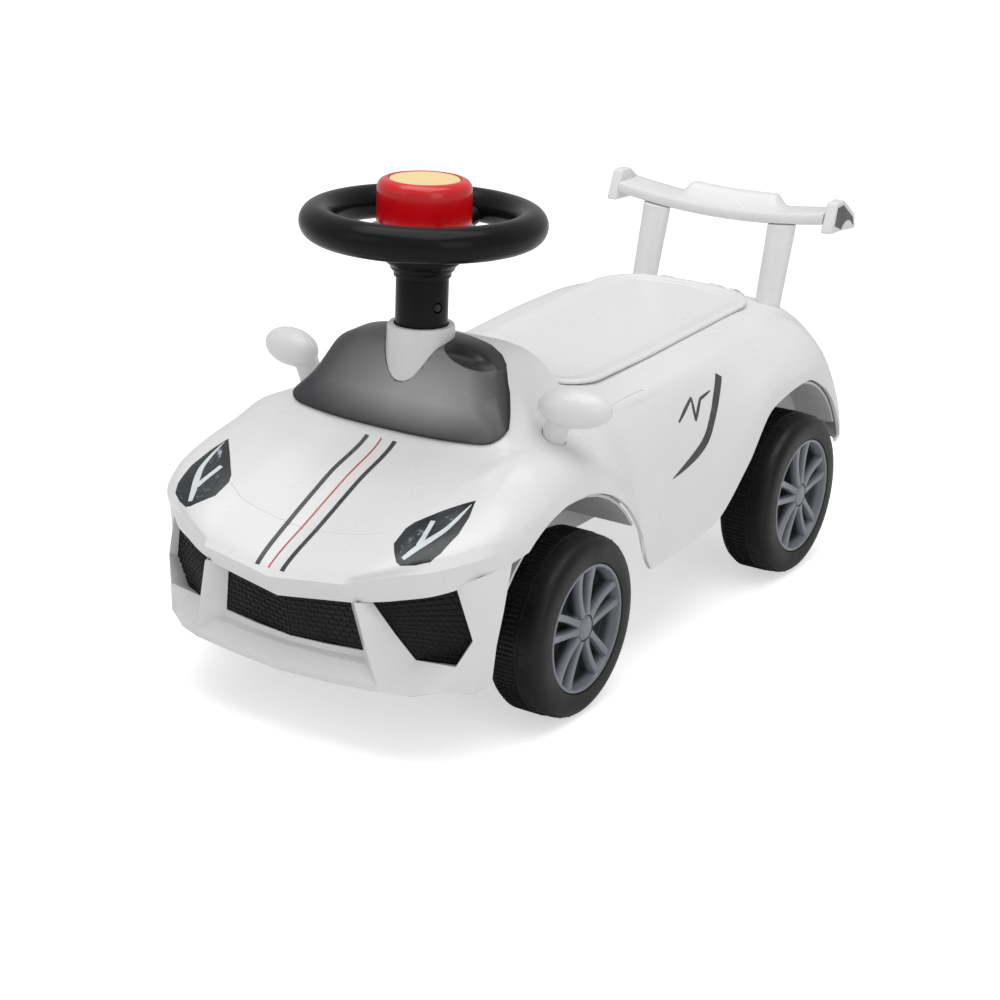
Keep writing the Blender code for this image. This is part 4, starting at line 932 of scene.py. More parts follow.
SMOKED_PRINT = smoked_print()
make_windscreen()


# Steering collar, column and wheel: a white collar is pressed into the shell, a black sleeve turns in it,
# and the blow-moulded wheel sits on the sleeve, held by two screws in sunk recesses.

STEERING_BLACK = moulded_plastic("steering_black", (0.006, 0.0061, 0.0064), (0.011, 0.0111, 0.0115),
                                 (0.18, 0.30), 700.0, 0.04, 0.0, 0.14)
COLUMN_RADIUS = 18.2
WHEEL_RING_Z = 323.0
WHEEL_RING_RADIUS = 72.5
WHEEL_TUBE_RADIUS = 12.0
SCREW_HEIGHT = 267.0


def make_collar():
    profile = [(19.0, 253), (22.6, 253), (23.4, 251.4), (23.6, 249), (25.5, 206), (19.0, 206)]
    add_piece("collar", on_axis(profile, 96, True, 0.5), WHITE_PLASTIC, "body", ("steering_collar",))


def screw_way(side):
    return Vector((side * math.cos(math.radians(18)), -math.sin(math.radians(18)), 0))


def make_column():
    sleeve = on_axis([(15.2, 296), (18.2, 296), (18.2, 196), (5.3, 196), (5.3, 200), (15.2, 200)], 96, True, 0.5)
    holes = []
    for side in SIDES.values():
        way = screw_way(side)
        seat = Vector(on_column(SCREW_HEIGHT)) + way * (COLUMN_RADIUS - 2.4)
        holes.append(bar_between(seat, seat + way * 8, 3.9, 3.9, 32))
        holes.append(bar_between(seat - way * 9, seat + way * 3, 1.9, 1.9, 24))
    add_piece("steering_sleeve", cut_away(sleeve, holes), STEERING_BLACK, "steering", ("steering_column",),
              32.0, False)


def tube_ring(count):
    """Section of the wheel's ring: round, with a faint seam underneath where the mould halves meet."""
    points = []
    for i in range(count):
        angle = math.pi / 2 - 2 * math.pi * i / count
        radius = WHEEL_TUBE_RADIUS + 0.22 * math.exp(-((math.degrees(angle) + 38.0) / 2.2) ** 2)
        points.append((WHEEL_RING_RADIUS + radius * math.cos(angle), WHEEL_RING_Z + radius * math.sin(angle)))
    return points


def make_steering_wheel():
    ring = on_axis(tube_ring(72), 144, True, 0.0)
    hub = on_axis([(38.0, 317), (37.4, 313.4), (36.0, 310), (31.5, 304.6), (27.5, 300.4), (26.8, 299.0), (26.8, 297.0),
                   (22.8, 293.4), (22.0, 291.0), (19.9, 289.5), (19.8, 286), (18.5, 286), (18.5, 296.3),
                   (14.9, 296.3), (14.9, 256), (11.5, 256), (11.5, 300), (23.0, 300), (23.0, 309), (35.0, 314),
                   (35.0, 317)], 96, True, 0.6)
    slots = []
    for angle in (-28.0, 152.0):
        way = Vector((math.cos(math.radians(angle)), math.sin(math.radians(angle)), -0.35)).normalized()
        start = Vector(on_column(303.0)) + way * 27.0
        slots.append(bar_between(start, start + way * 14, 3.0, 3.0, 24))
    spokes = []
    for index in range(3):
        angle = math.radians(90 + 120 * index)
        out = Vector((math.cos(angle), math.sin(angle), 0))
        spokes.append(bar_between(Vector(on_column(308.5)) + out * 32,
                                  Vector(on_column(319)) + out * (WHEEL_RING_RADIUS - 4), 5.5, 6.4, 40))
    mesh = joined("steering_wheel_visual", [ring, cut_away(hub, slots)] + spokes)
    add_piece("wheel_rim_and_hub", mesh, STEERING_BLACK, "steering", ("steering_wheel",), 32.0,
              False)


make_collar()
make_column()
make_steering_wheel()


# Horn: a bright plate under a red press button, with a plain printed disc in the button's top.
# The button slides on a coil spring; the buzzer and the spring are hidden under it.

def button_gloss():
    material, tree, shader = new_finish("button_red")
    patches = spread(tree, cloud(tree, 26.0, 5.0, 0.6), 0.0, 1.0)
    set_inputs(tree, shader, {"Base Color": between(tree, patches, (0.70, 0.002, 0.006), (0.62, 0.003, 0.008)),
                              "Roughness": spread(tree, cloud(tree, 60.0, 5.0, 0.6), 0.16, 0.28),
                              "Normal": relief(tree, cloud(tree, 600.0, 2.0), 0.35, 0.04),
                              "Subsurface Weight": 0.06, "Subsurface Scale": 0.002,
                              "Subsurface Radius": (1.0, 0.2, 0.1), "Coat Weight": 0.15, "Coat Roughness": 0.08})
    return material


def brushed_metal(name, colour, dark_colour, roughness, turns=90.0):
    """Plated or bare metal: fine lines from forming, cloudy dulling and small dark specks."""
    material, tree, shader = new_finish(name)
    specks = spread(tree, cloud(tree, 120.0, 6.0, 0.7), 0.0, 1.0, 0.45, 0.75)
    lines = cloud(tree, turns, 4.0, 0.5, placed(tree, 'POINT', Scale=(0.6, 9.0, 30.0)))
    set_inputs(tree, shader, {"Metallic": 1.0, "Base Color": between(tree, specks, colour, dark_colour),
                              "Roughness": spread(tree, cloud(tree, 55.0, 5.0), *roughness),
                              "Normal": relief(tree, lines, 0.25, 0.03)})
    return material


def printed_disc():
    """Plain tan label: paper grain under a slightly uneven varnish."""
    material, tree, shader = new_finish("badge_tan")
    fibres = cloud(tree, 420.0, 4.0, 0.7)
    colour = between(tree, spread(tree, fibres, 0.0, 1.0), (0.86, 0.60, 0.24), (0.92, 0.70, 0.36))
    set_inputs(tree, shader, {"Base Color": colour, "Roughness": spread(tree, cloud(tree, 90.0, 4.0), 0.28, 0.46),
                              "Normal": relief(tree, fibres, 0.3, 0.03)})
    return material


RED_BUTTON = button_gloss()
BRIGHT_PLATE = brushed_metal("silver_plate", (0.74, 0.75, 0.76), (0.62, 0.63, 0.64), (0.16, 0.30))
ZINC = brushed_metal("zinc_steel", (0.56, 0.56, 0.57), (0.40, 0.40, 0.41), (0.28, 0.48))
TAN_LABEL = printed_disc()


def make_horn():
    plate = on_axis([(6.6, 319.5), (34.6, 319.5), (35.2, 319.9), (36.5, 319.4), (36.5, 317.3), (6.6, 317.3)],
                    96, True, 0.25)
    add_piece("horn_plate_visual", plate, BRIGHT_PLATE, "steering", ("horn_plate",))
    button = on_axis([(0.0, 351.5), (24.6, 351.5), (24.6, 353.0), (27.0, 352.9), (30.2, 351.4), (32.0, 348.6),
                      (32.5, 345.0), (32.5, 323.5), (29.5, 323.5), (29.5, 346), (6.0, 346), (6.0, 314.5),
                      (0.0, 314.5)], 128, False, 1.3)
    add_piece("horn_button_visual", button, RED_BUTTON, "horn", ("horn_button",))
    badge = on_axis([(0.0, 352.45), (21.2, 352.45), (21.5, 352.7), (23.6, 352.7), (24.0, 352.3), (24.0, 351.8),
                     (0.0, 351.8)], 96, False, 0.1)
    add_piece("horn_badge_visual", badge, TAN_LABEL, "horn", ("horn_badge",))


make_horn()


def dress_node(name, material):
    """A carried-over solid keeps its shape and gets a full finish."""
    item = NODES[name]
    item.data.materials.clear()
    item.data.materials.append(material)


BLACK_SCREW = brushed_metal("blackened_screw", (0.050, 0.050, 0.052), (0.028, 0.028, 0.030), (0.30, 0.45))
for name, finish in (("button_spring", ZINC), ("sound_box", STEERING_BLACK), ("column_screw_left", BLACK_SCREW),
                     ("column_screw_right", BLACK_SCREW), ("steering_rod", ZINC)):
    dress_node(name, finish)


# Seat lid: a moulded white plate that closes the storage bin, with a rounded rim and two fine steps.
# It turns on a steel pin through two ears behind it, held by a screwed-down bracket.

LID_FRONT = -50.0
LID_REAR = 221.0         # at the sides; the middle is bowed back
LID_BOW = 15.5
LID_HALF = 69.5
LEDGE_LINE = [(-52.0, 191.0), (40.0, 192.5), (95.0, 195.0), (140.0, 197.0), (185.0, 199.0), (222.0, 200.2),
              (240.0, 200.8)]


def line_at(points, y):
    """Value at y on a line of (y, value) pairs, straight between them."""
    for (y_first, first), (y_next, after) in zip(points, points[1:]):
        if y <= y_next:
            return first + (after - first) * (y - y_first) / (y_next - y_first)
    return points[-1][1]

EAR_SIDE = [(229, 201.6), (229, 203.6), (237, 203.4), (245, 200.2), (248.2, 199.2), (249.2, 197), (248.2, 194.8),
            (244.5, 194.6), (239.0, 200.9)]


def lid_outline():
    """Plan of the lid: narrower at the front, bowed at the rear."""
    corners = rounded_rectangle(LID_HALF, LID_FRONT, LID_REAR, 28, 12)
    ring = []
    for corner, after in zip(corners, corners[1:] + corners[:1]):
        pieces = max(1, round(math.dist(corner, after) / 6.0))
        ring += [(corner[0] + (after[0] - corner[0]) * step / pieces,
                  corner[1] + (after[1] - corner[1]) * step / pieces) for step in range(pieces)]
    outline = []
    for x, y in ring:
        along = (y - LID_FRONT) / (LID_REAR - LID_FRONT)
        bow = LID_BOW * (1.0 - (x / LID_HALF) ** 2) * max(0.0, (along - 0.85) / 0.15)
        outline.append((x * (1.0 - 0.055 * (1.0 - along)), y + bow))
    return outline


def lid_ring(outer, inset_by, rise):
    """The outline moved in square to itself, at a rise over the ledge."""
    result = []
    for i, (x, y) in enumerate(outer):
        along = (Vector(outer[(i + 1) % len(outer)]) - Vector(outer[i - 1])).normalized()
        x, y = x - along.y * inset_by, y + along.x * inset_by
        result.append(mm(x, y, line_at(LEDGE_LINE, y) + rise))
    return result


LID_RINGS = [(1.6, 0.12), (0.5, 0.15), (0.1, 0.5), (0.0, 1.5), (0.4, 2.3), (1.2, 2.8), (2.4, 3.0), (6.2, 3.0),
             (6.9, 2.8), (7.3, 2.4), (7.9, 2.2), (12.1, 2.2), (12.8, 2.0), (13.2, 1.6), (13.9, 1.4), (20.0, 1.3),
             (26.0, 1.25)]     # inset and rise of each ring, from the underside round to the top


def make_lid():
    outer = lid_outline()
    count = len(outer)
    points = [point for inset_by, rise in LID_RINGS for point in lid_ring(outer, inset_by, rise)]
    shape = bmesh.new()
    shape.from_mesh(mesh_of("lid", points, band_faces(len(LID_RINGS), count)))
    shape.verts.ensure_lookup_table()
    top = shape.faces.new(shape.verts[-count:])
    under = shape.faces.new(shape.verts[:count][::-1])
    bmesh.ops.triangulate(shape, faces=[top, under])
    bmesh.ops.recalc_face_normals(shape, faces=shape.faces)
    plate = bpy.data.meshes.new("lid")
    shape.to_mesh(plate)
    shape.free()
    ears = []
    for side in SIDES.values():
        ear = modified(extruded(EAR_SIDE, side * 22 - 4, side * 22 + 4, 'X'),
                       ('BEVEL', {"width": 0.0006, "segments": 2}))
        ears.append(joined("ear", [ear], True))
    add_piece("lid_plate", joined("lid", [plate] + ears), WHITE_PLASTIC, "lid", ("seat_lid",),
              38.0, False)


make_lid()
BIN_GREY = moulded_plastic("bin_white", (0.70, 0.70, 0.705), (0.64, 0.64, 0.645), (0.38, 0.55), 420.0, 0.08)
for name, finish in (("hinge_bracket", WHITE_PLASTIC), ("hinge_pin", ZINC), ("storage_bin", BIN_GREY)):
    dress_node(name, finish)


# Front bumper: a separate white moulding under the nose lip, with a splitter shelf below the middle opening.
# A leaning fin stands at each side of the opening, and outside it a scoop runs back to a recessed vent.

BUMPER_POINTS = {
    "grille_top": (0, -313.0, 104.4), "grille_top_end": (49.8, -306.6, 110.6),
    "grille_foot": (0, -304.6, 70.8), "grille_foot_end": (57.2, -300.9, 73.6),
    "strip": (0, -305.2, 67.2), "strip_end": (59.0, -301.8, 69.2),
    "shelf_back": (0, -308.6, 65.6), "shelf_back_end": (63.0, -305.4, 66.8),
    "shelf_back_half": (32, -308.2, 66.2),
    "grille_foot_half": (29, -304.0, 72.2), "strip_half": (30, -304.8, 68.3),
    "splitter": (0, -317.2, 54.6), "splitter_half": (38, -314.6, 55.6), "splitter_end": (75.6, -311.8, 58.6),
    "splitter_low": (0, -315.6, 49.4), "splitter_low_half": (38, -313.0, 50.0),
    "fin_top": (61.8, -317.0, 113.2), "fin_half": (68.6, -314.6, 84.0), "fin_foot": (76.6, -310.6, 52.6),
    "vent_top": (67.4, -305.4, 112.0), "vent_top_end": (116.4, -283.4, 127.6),
    "vent_end": (127.2, -278.4, 90.4), "vent_low_end": (119.4, -285.8, 73.0), "vent_low": (90.2, -288.6, 71.2),
    "vent_side": (79.8, -298.2, 91.0),
    "vent_top_back": (113.4, -278.6, 125.4), "vent_end_back": (122.7, -272.3, 88.0),
    "vent_low_back": (111.9, -274.0, 68.4),
    "scoop_end": (114.6, -291.0, 55.6), "scoop_half": (95.4, -302.6, 52.0),
    "side_top": (130.2, -273.4, 133.0), "side_top_end": (134.9, -246.0, 136.0),
    "side": (133.0, -267.0, 97.0), "side_end": (135.0, -255.0, 104.0),
    "side_low": (130.6, -270.6, 76.0), "side_low_end": (135.0, -262.0, 84.0),
    "side_foot": (126.0, -276.0, 51.6), "side_foot_end": (132.5, -263.0, 55.0),
}
BUMPER_FACES = [
    ("grille_top_end", "fin_top", "fin_half", "grille_foot_end"),
    ("grille_foot_end", "fin_half", "splitter_end", "shelf_back_end", "strip_end"),
    ("fin_half", "fin_foot", "splitter_end"),
    ("grille_foot", "grille_foot_half", "strip_half", "strip"),
    ("grille_foot_half", "grille_foot_end", "strip_end", "strip_half"),
    ("strip", "strip_half", "shelf_back_half", "shelf_back"),
    ("strip_half", "strip_end", "shelf_back_end", "shelf_back_half"),
    ("shelf_back", "shelf_back_half", "splitter_half", "splitter"),
    ("shelf_back_half", "shelf_back_end", "splitter_end", "splitter_half"),
    ("splitter", "splitter_half", "splitter_low_half", "splitter_low"),
    ("splitter_half", "splitter_end", "fin_foot", "splitter_low_half"),
    ("fin_top", "vent_top", "vent_side", "fin_half"),
    ("fin_half", "vent_side", "vent_low", "fin_foot"),
    ("fin_foot", "vent_low", "vent_low_end", "scoop_end", "scoop_half"),
    ("vent_end", "scoop_end", "vent_low_end"),
    ("vent_top_end", "vent_end", "vent_end_back", "vent_top_back"),
    ("vent_end", "vent_low_end", "vent_low_back", "vent_end_back"),
    ("vent_low_end", "vent_low", "vent_low_back"),
    ("vent_top_end", "side_top", "side", "vent_end"),
    ("side_top", "side_top_end", "side_end", "side"),
    ("vent_end", "side", "side_low", "scoop_end"),
    ("side", "side_end", "side_low_end", "side_low"),
    ("scoop_end", "side_low", "side_foot"),
    ("side_low", "side_low_end", "side_foot_end", "side_foot"),
]


def make_bumper():
    """Crisp facets between named corners, mirrored and given a wall."""
    names = [name for name in BUMPER_POINTS if any(name in face for face in BUMPER_FACES)]
    points = [mm(*BUMPER_POINTS[name]) for name in names]
    faces = [tuple(names.index(name) for name in face) for face in BUMPER_FACES]
    mesh = joined("bumper", [mesh_of("bumper", points, faces)], True)
    if min(mesh.polygons, key=lambda face: face.center.y).normal.y > 0:
        mesh.flip_normals()
    mesh = modified(mesh, ('MIRROR', {"merge_threshold": 0.0001}),
                    ('SOLIDIFY', {"thickness": 0.0024, "offset": -1.0, "use_even_offset": False}),
                    ('BEVEL', {"width": 0.0009, "segments": 3, "limit_method": 'ANGLE',
                               "angle_limit": math.radians(12.0)}))
    add_piece("bumper_skin", mesh, WHITE_PLASTIC, "body", ("front_bumper",), 40.0)


make_bumper()
GRILLE_BLACK = moulded_plastic("grille_black", (0.003, 0.003, 0.0033), (0.007, 0.007, 0.0075), (0.30, 0.45), 600.0,
                               0.05, 0.0, 0.22)


def new_group(name, inputs, result):
    """A Geometry Nodes tree: the tree, its input sockets, and their identifiers by name."""
    tree = bpy.data.node_groups.new(name, 'GeometryNodeTree')
    names = {label: tree.interface.new_socket(label, in_out='INPUT', socket_type='NodeSocket' + kind).identifier
             for label, kind in inputs.items()}
    tree.interface.new_socket(result, in_out='OUTPUT', socket_type='NodeSocketGeometry')
    return tree, tree.nodes.new("NodeGroupInput").outputs, names


def end_group(tree, shape, finish, result):
    """End a tree with real geometry and its material."""
    real = add_node(tree, "GeometryNodeRealizeInstances", {"Geometry": shape})
    paint = add_node(tree, "GeometryNodeSetMaterial", {"Geometry": real.outputs["Geometry"], "Material": finish})
    add_node(tree, "NodeGroupOutput", {result: paint.outputs["Geometry"]})


def grown(mesh, group, values):
    """Run a tree on a mesh and keep the result as a plain mesh."""
    item = scratch_object("work", mesh)
    modifier = item.modifiers.new("grown", 'NODES')
    modifier.node_group, names = group
    for label, value in values.items():
        modifier[names[label]] = value
    return settled(item)


def net_tree():
    """Geometry Nodes: wires along every edge of a sheet, over a thin backing of the same sheet."""
    tree, start, names = new_group("moulded_net",
                                   {"Sheet": 'Geometry', "Wire Radius": 'Float', "Finish": 'Material'}, "Net")
    lines = add_node(tree, "GeometryNodeMeshToCurve", {"Mesh": start["Sheet"]})
    section = add_node(tree, "GeometryNodeCurvePrimitiveCircle", {"Resolution": 6, "Radius": start["Wire Radius"]})
    sweep = add_node(tree, "GeometryNodeCurveToMesh", {"Curve": lines.outputs["Curve"],
                                                       "Profile Curve": section.outputs["Curve"]})
    together = tree.nodes.new("GeometryNodeJoinGeometry")
    for piece in (sweep.outputs["Mesh"], start["Sheet"]):
        tree.links.new(piece, together.inputs["Geometry"])
    end_group(tree, together.outputs["Geometry"], start["Finish"], "Net")
    return tree, names


NET = net_tree()
NET_WIRE = 0.0008        # metres
NET_CELL_WIDTH = 6.6
NET_CELL_HEIGHT = 3.8
NET_BACK = Vector((0.0, 1.2, 0.0))


def laid_bricks(rows_of_ends, side):
    """Cells laid like bricks between pairs of (left, right) corners, from the top row of corners down."""
    points = []
    faces = []
    left_first, right_first = rows_of_ends[0]
    columns = max(3, round((right_first - left_first).length / NET_CELL_WIDTH))
    lines = []
    for (left, right), (next_left, next_right) in zip(rows_of_ends, rows_of_ends[1:]):
        count = max(1, round(((next_left - left).length + (next_right - right).length) / 2 / NET_CELL_HEIGHT))
        lines += [(left.lerp(next_left, step / count), right.lerp(next_right, step / count)) for step in range(count)]
    lines.append(rows_of_ends[-1])
    across = 2 * columns + 1
    for left, right in lines:
        for k in range(across):
            point = left.lerp(right, k / (across - 1)) + NET_BACK
            points.append(mm(side * point.x, point.y, point.z))
    for row in range(len(lines) - 1):
        cuts = list(range(row % 2, across, 2))
        cuts = sorted(set([0] + cuts + [across - 1]))
        for first, last in zip(cuts, cuts[1:]):
            top = [row * across + k for k in range(first, last + 1)]
            low = [(row + 1) * across + k for k in range(first, last + 1)]
            faces.append(tuple(low + top[::-1]))
    return points, faces


def make_net(name, node, rows_of_ends, sides):
    points = []
    faces = []
    for side in sides:
        more, others = laid_bricks(rows_of_ends, side)
        faces += [tuple(len(points) + i for i in face) for face in others]
        points += more
    mesh = welded(mesh_of(name, points, faces))
    mesh = grown(mesh, NET, {"Wire Radius": NET_WIRE, "Finish": GRILLE_BLACK})
    add_piece(name, mesh, GRILLE_BLACK, "body", (node,), 40.0, False)


def corner(name, more=(0.0, 0.0, 0.0)):
    return Vector(BUMPER_POINTS[name]) + Vector(more)


make_net("centre_net", "centre_grille",
         [(corner("grille_top", (0, 0, 1)), corner("grille_top_end", (1.5, 0, 1))),
          (corner("grille_foot", (0, 0, -1)), corner("grille_foot_end", (1.5, 0, -1)))], (1, -1))
for side_name, side in SIDES.items():
    make_net("vent_net_" + side_name, "vent_mesh_" + side_name,
             [(corner("vent_top", (-1.5, 0, 1)), corner("vent_top_back", (1.0, -1.6, 1.0))),
              (corner("vent_side", (-1.5, 0, 0)), corner("vent_end_back", (1.0, -1.6, 0))),
              (corner("vent_low", (-1, 0, -1)), corner("vent_low_back", (1.0, -1.6, -0.8)))], (side,))


# Mirrors: hollow white pods on short stalks that plug through the scuttle.
# The pod and its stalk are one blow moulding, so a soft fillet runs between them.

MIRROR_SWEEP = 15.0


def make_mirror(side_name, side):
    x, y, z = MIRROR_PLACE
    shape = bmesh.new()
    bmesh.ops.create_uvsphere(shape, u_segments=48, v_segments=32, radius=1.0)
    bmesh.ops.scale(shape, vec=(0.0262, 0.0140, 0.0138), verts=shape.verts)
    turn = Matrix.Rotation(math.radians(side * MIRROR_SWEEP), 4, 'Z')
    bmesh.ops.transform(shape, matrix=Matrix.Translation(mm(side * x, y, z)) @ turn, verts=shape.verts)
    pod = bpy.data.meshes.new("pod")
    shape.to_mesh(pod)
    shape.free()
    stalk = bar_between((side * 99, y + 4, 176), (side * 107, y + 1, 204), 8.4, 8.9, 48)
    mesh = modified(joined("mirror", [pod, stalk]), ('REMESH', {"mode": 'VOXEL', "voxel_size": 0.0009}),
                    ('SMOOTH', {"factor": 0.6, "iterations": 14}))
    add_piece("mirror_pod_" + side_name, mesh, WHITE_PLASTIC, "body", ("mirror_" + side_name,),
              60.0, False)


for side_name, side in SIDES.items():
    make_mirror(side_name, side)


# Spoiler: two hollow posts through the rear deck carry a bowed blade with a raised middle lip.
# A thin cap with a dark sticker closes each end of the blade.

WING_HALF = 96.0
WING_FRONT = 275.0
WING_CHORD = 36.0


def wing_top(x):
    return 258.0 + 8.0 * (abs(x) / WING_HALF) ** 2


def wing_section(x):
    top = wing_top(x)
    hump = 10.0 * smooth_step((49.0 - abs(x)) / 11.0)
    front = WING_FRONT
    rear = WING_FRONT + WING_CHORD
    return [(x, front + 2.6, top - 9), (x, front + 0.8, top - 8.0), (x, front, top - 5.6), (x, front, top - 2.2),
            (x, front + 0.8, top - 0.5), (x, front + 2.8, top + 0.2), (x, front + 11, top + 0.7),
            (x, rear - 17.5, top + 1.0 + 0.10 * hump), (x, rear - 14, top + 1 + 0.5 * hump),
            (x, rear - 10.6, top + 1 + 0.9 * hump), (x, rear - 8, top + 1 + hump),
            (x, rear - 2.2, top + 1 + hump), (x, rear - 0.8, top + 0.2 + 0.96 * hump), (x, rear, top - 3),
            (x, rear - 1.4, top - 5), (x, rear - 13, top - 9)]


def make_wing():
    steps = 96
    sections = [wing_section(-WING_HALF + 2 * WING_HALF * step / steps) for step in range(steps + 1)]
    mesh = skinned("wing", [[mm(*point) for point in section] for section in sections])
    add_piece("wing_blade", mesh, WHITE_PLASTIC, "body", ("spoiler_wing",), 38.0)


def make_posts():
    for side_name, side in SIDES.items():
        rings = [post_ring(side, step / 24, -0.35 if step == 0 else 0.0, 64) for step in range(25)]
        for ring, reach in ((rings[-2], 0.0004), (rings[-1], 1.0)):
            for point in ring:
                point.z = min(point.z + reach, (wing_top(1000.0 * point.x) - 9.25) / 1000.0)
        add_piece("post_" + side_name, skinned("post", rings), WHITE_PLASTIC, "body",
                  ("spoiler_post_" + side_name,), 50.0)


CAP_SIDE = [(272, 251), (282, 275.5), (296, 276), (318, 261), (321, 248), (298, 250)]


def make_caps():
    arc = [(303.0 + 13.0 * math.cos(math.radians(angle)), 246.0 + 12.0 * math.sin(math.radians(angle)))
           for angle in range(30, 151, 12)]
    sticker = [(282.5, 271.4), (293.5, 272.2), (313.5, 258.8), (315.8, 252.6)] + arc + [(279.0, 257.0)]
    for side_name, side in SIDES.items():
        low, high = sorted((side * (WING_HALF + 0.3), side * (WING_HALF + 10.0)))
        cap = modified(joined("cap", [extruded(CAP_SIDE, low, high, 'X')], True),
                       ('BEVEL', {"width": 0.0018, "segments": 4}))
        add_piece("end_cap_" + side_name, cap, WHITE_PLASTIC, "body", ("wing_cap_" + side_name,),
                  50.0, False)
        low, high = sorted((side * (WING_HALF + 9.9), side * (WING_HALF + 10.2)))
        add_piece("cap_sticker_" + side_name, extruded(sticker, low, high, 'X'), FLANK_GREY, "body")


make_wing()
make_posts()
make_caps()


# Underside: chassis tray, bridge and arch liners are plain mouldings with a coarser, duller skin; their base colour is
# darker than the body's white as painted shade, for their place under the body and in the arches.
# The axles, kingpins and links are zinc-plated steel; the knuckles and bushes are black nylon.

# Painted shade: the underside white is a darker copy of the body's white plastic; its rougher skin is real.
SHADED_UNDER_WHITE = moulded_plastic("under_white_shaded", (0.66, 0.66, 0.665), (0.58, 0.58, 0.585), (0.42, 0.6), 380.0, 0.1)
NYLON_BLACK = moulded_plastic("nylon_black", (0.008, 0.008, 0.0085), (0.015, 0.015, 0.0155), (0.38, 0.55),
                              500.0, 0.06, 0.0, 0.35)
for name in ("chassis", "front_liner_left", "front_liner_right", "rear_liner_left", "rear_liner_right"):
    dress_node(name, SHADED_UNDER_WHITE)
for name in ("front_axle_carrier", "axle_bush_left", "axle_bush_right", "steering_knuckle_left",
             "steering_knuckle_right"):
    dress_node(name, NYLON_BLACK)
for name in ("rear_axle", "kingpin_left", "kingpin_right", "stub_axle_left", "stub_axle_right", "tie_rod",
             "push_nut_front_left", "push_nut_front_right", "push_nut_rear_left", "push_nut_rear_right"):
    dress_node(name, ZINC)


# Tyres: black blow-moulded shells with a raised parting line round the tread.
# Close ribs cross the inner half; the outer half is smooth with short ticks, and the sidewall is plain.

TRACK_OUTER = 147.0
WHEELBASE_HALF = 166.0
TYRE_RADIUS = 65.0
TYRE_BLACK = moulded_plastic("tyre_black", (0.0055, 0.0055, 0.0058), (0.010, 0.010, 0.0104), (0.34, 0.50),
                             650.0, 0.06, 0.0, 0.26)
RIB_COUNT = 112
TICK_COUNT = 32
TREAD = [                # count, radius, length, width, depth, offset, lean of each ring of bars
    (RIB_COUNT, 63.9, 7.4, 2.0, 2.2, -32.5, 0.0), (RIB_COUNT, 63.9, 7.8, 2.0, 2.2, -23.5, 0.0),
    (TICK_COUNT, 63.8, 5.2, 1.4, 1.6, -14.2, 0.0), (TICK_COUNT, 61.8, 4.4, 1.4, 1.8, -4.0, -0.75)]


def wheel_place(side, y):
    return mm(side * TRACK_OUTER, y, TYRE_RADIUS)


def studs_tree():
    """Geometry Nodes: bars lying along the axle direction, spaced evenly round it."""
    inputs = dict.fromkeys(("Radius", "Length", "Width", "Depth", "Offset", "Lean"), 'Float')
    tree, start, names = new_group("tread_bars", {"Count": 'Int', **inputs, "Finish": 'Material'}, "Bars")

    def axes(**values):
        return add_node(tree, "ShaderNodeCombineXYZ", values).outputs["Vector"]

    circle = add_node(tree, "GeometryNodeMeshCircle", {"Vertices": start["Count"], "Radius": start["Radius"]},
                      fill_type='NONE')
    shift = add_node(tree, "GeometryNodeTransform", {"Geometry": circle.outputs["Mesh"],
                                                     "Translation": axes(Z=start["Offset"])})
    place = tree.nodes.new("GeometryNodeInputPosition")
    flat = add_node(tree, "ShaderNodeVectorMath", {0: place.outputs["Position"], 1: (1.0, 1.0, 0.0)},
                    operation='MULTIPLY')
    aim = add_node(tree, "FunctionNodeAlignEulerToVector", {"Vector": flat.outputs["Vector"]},
                   axis='X', pivot_axis='Z')
    bar = add_node(tree, "GeometryNodeMeshCylinder", {"Vertices": 8, "Radius": 0.5, "Depth": 1.0})
    shape = add_node(tree, "GeometryNodeTransform", {
        "Geometry": bar.outputs["Mesh"], "Rotation": axes(Y=start["Lean"]),
        "Scale": axes(X=start["Depth"], Y=start["Width"], Z=start["Length"])})
    copies = add_node(tree, "GeometryNodeInstanceOnPoints", {
        "Points": shift.outputs["Geometry"], "Instance": shape.outputs["Geometry"],
        "Rotation": aim.outputs["Rotation"]})
    end_group(tree, copies.outputs["Instances"], start["Finish"], "Bars")
    return tree, names


BARS = studs_tree()


def bars(count, radius, length, width, depth, offset, lean):
    """A ring of bars about the axle; sizes in millimetres, lean in radians."""
    sizes = {"Radius": radius, "Length": length, "Width": width, "Depth": depth, "Offset": offset}
    values = {label: size / 1000.0 for label, size in sizes.items()}
    return grown(bpy.data.meshes.new("bars"), BARS,
                 {"Count": count, "Lean": lean, "Finish": TYRE_BLACK, **values})


def tyre_mesh():
    """One tyre about its own axle, outer face up."""
    profile = [(45.9, 0.0), (54.5, 0.0), (58.2, -0.5), (61.1, -1.8), (63.0, -3.9), (63.9, -6.6), (64.25, -9.8),
               (64.25, -16.2), (64.1, -35.2), (63.5, -38.2), (62.2, -40.6), (60.0, -42.0), (49.0, -42.0),
               (46.0, -20.0), (9.0, -19.0), (9.0, -42.6), (4.4, -42.6), (4.4, -15.0), (45.9, -15.0)]
    seam = [(63.9, -16.2), (65.0, -16.6), (65.0, -17.5), (63.9, -17.9)]
    parts = [lathe(profile, steps=160, closed=True, ease=1.4), lathe(seam, steps=160, closed=True, ease=0.1)]
    return joined("tyre", parts + [bars(*sizes) for sizes in TREAD])


# Hub caps: grey moulded dishes pressed into the tyres, with a bright rim and five forked spokes.
# Each pair of bars runs in from the rim and meets at a domed middle that hides the axle end.

HUB_GREY = moulded_plastic("hub_grey", (0.185, 0.198, 0.226), (0.160, 0.172, 0.198), (0.22, 0.36), 520.0,
                           0.04, 0.15)


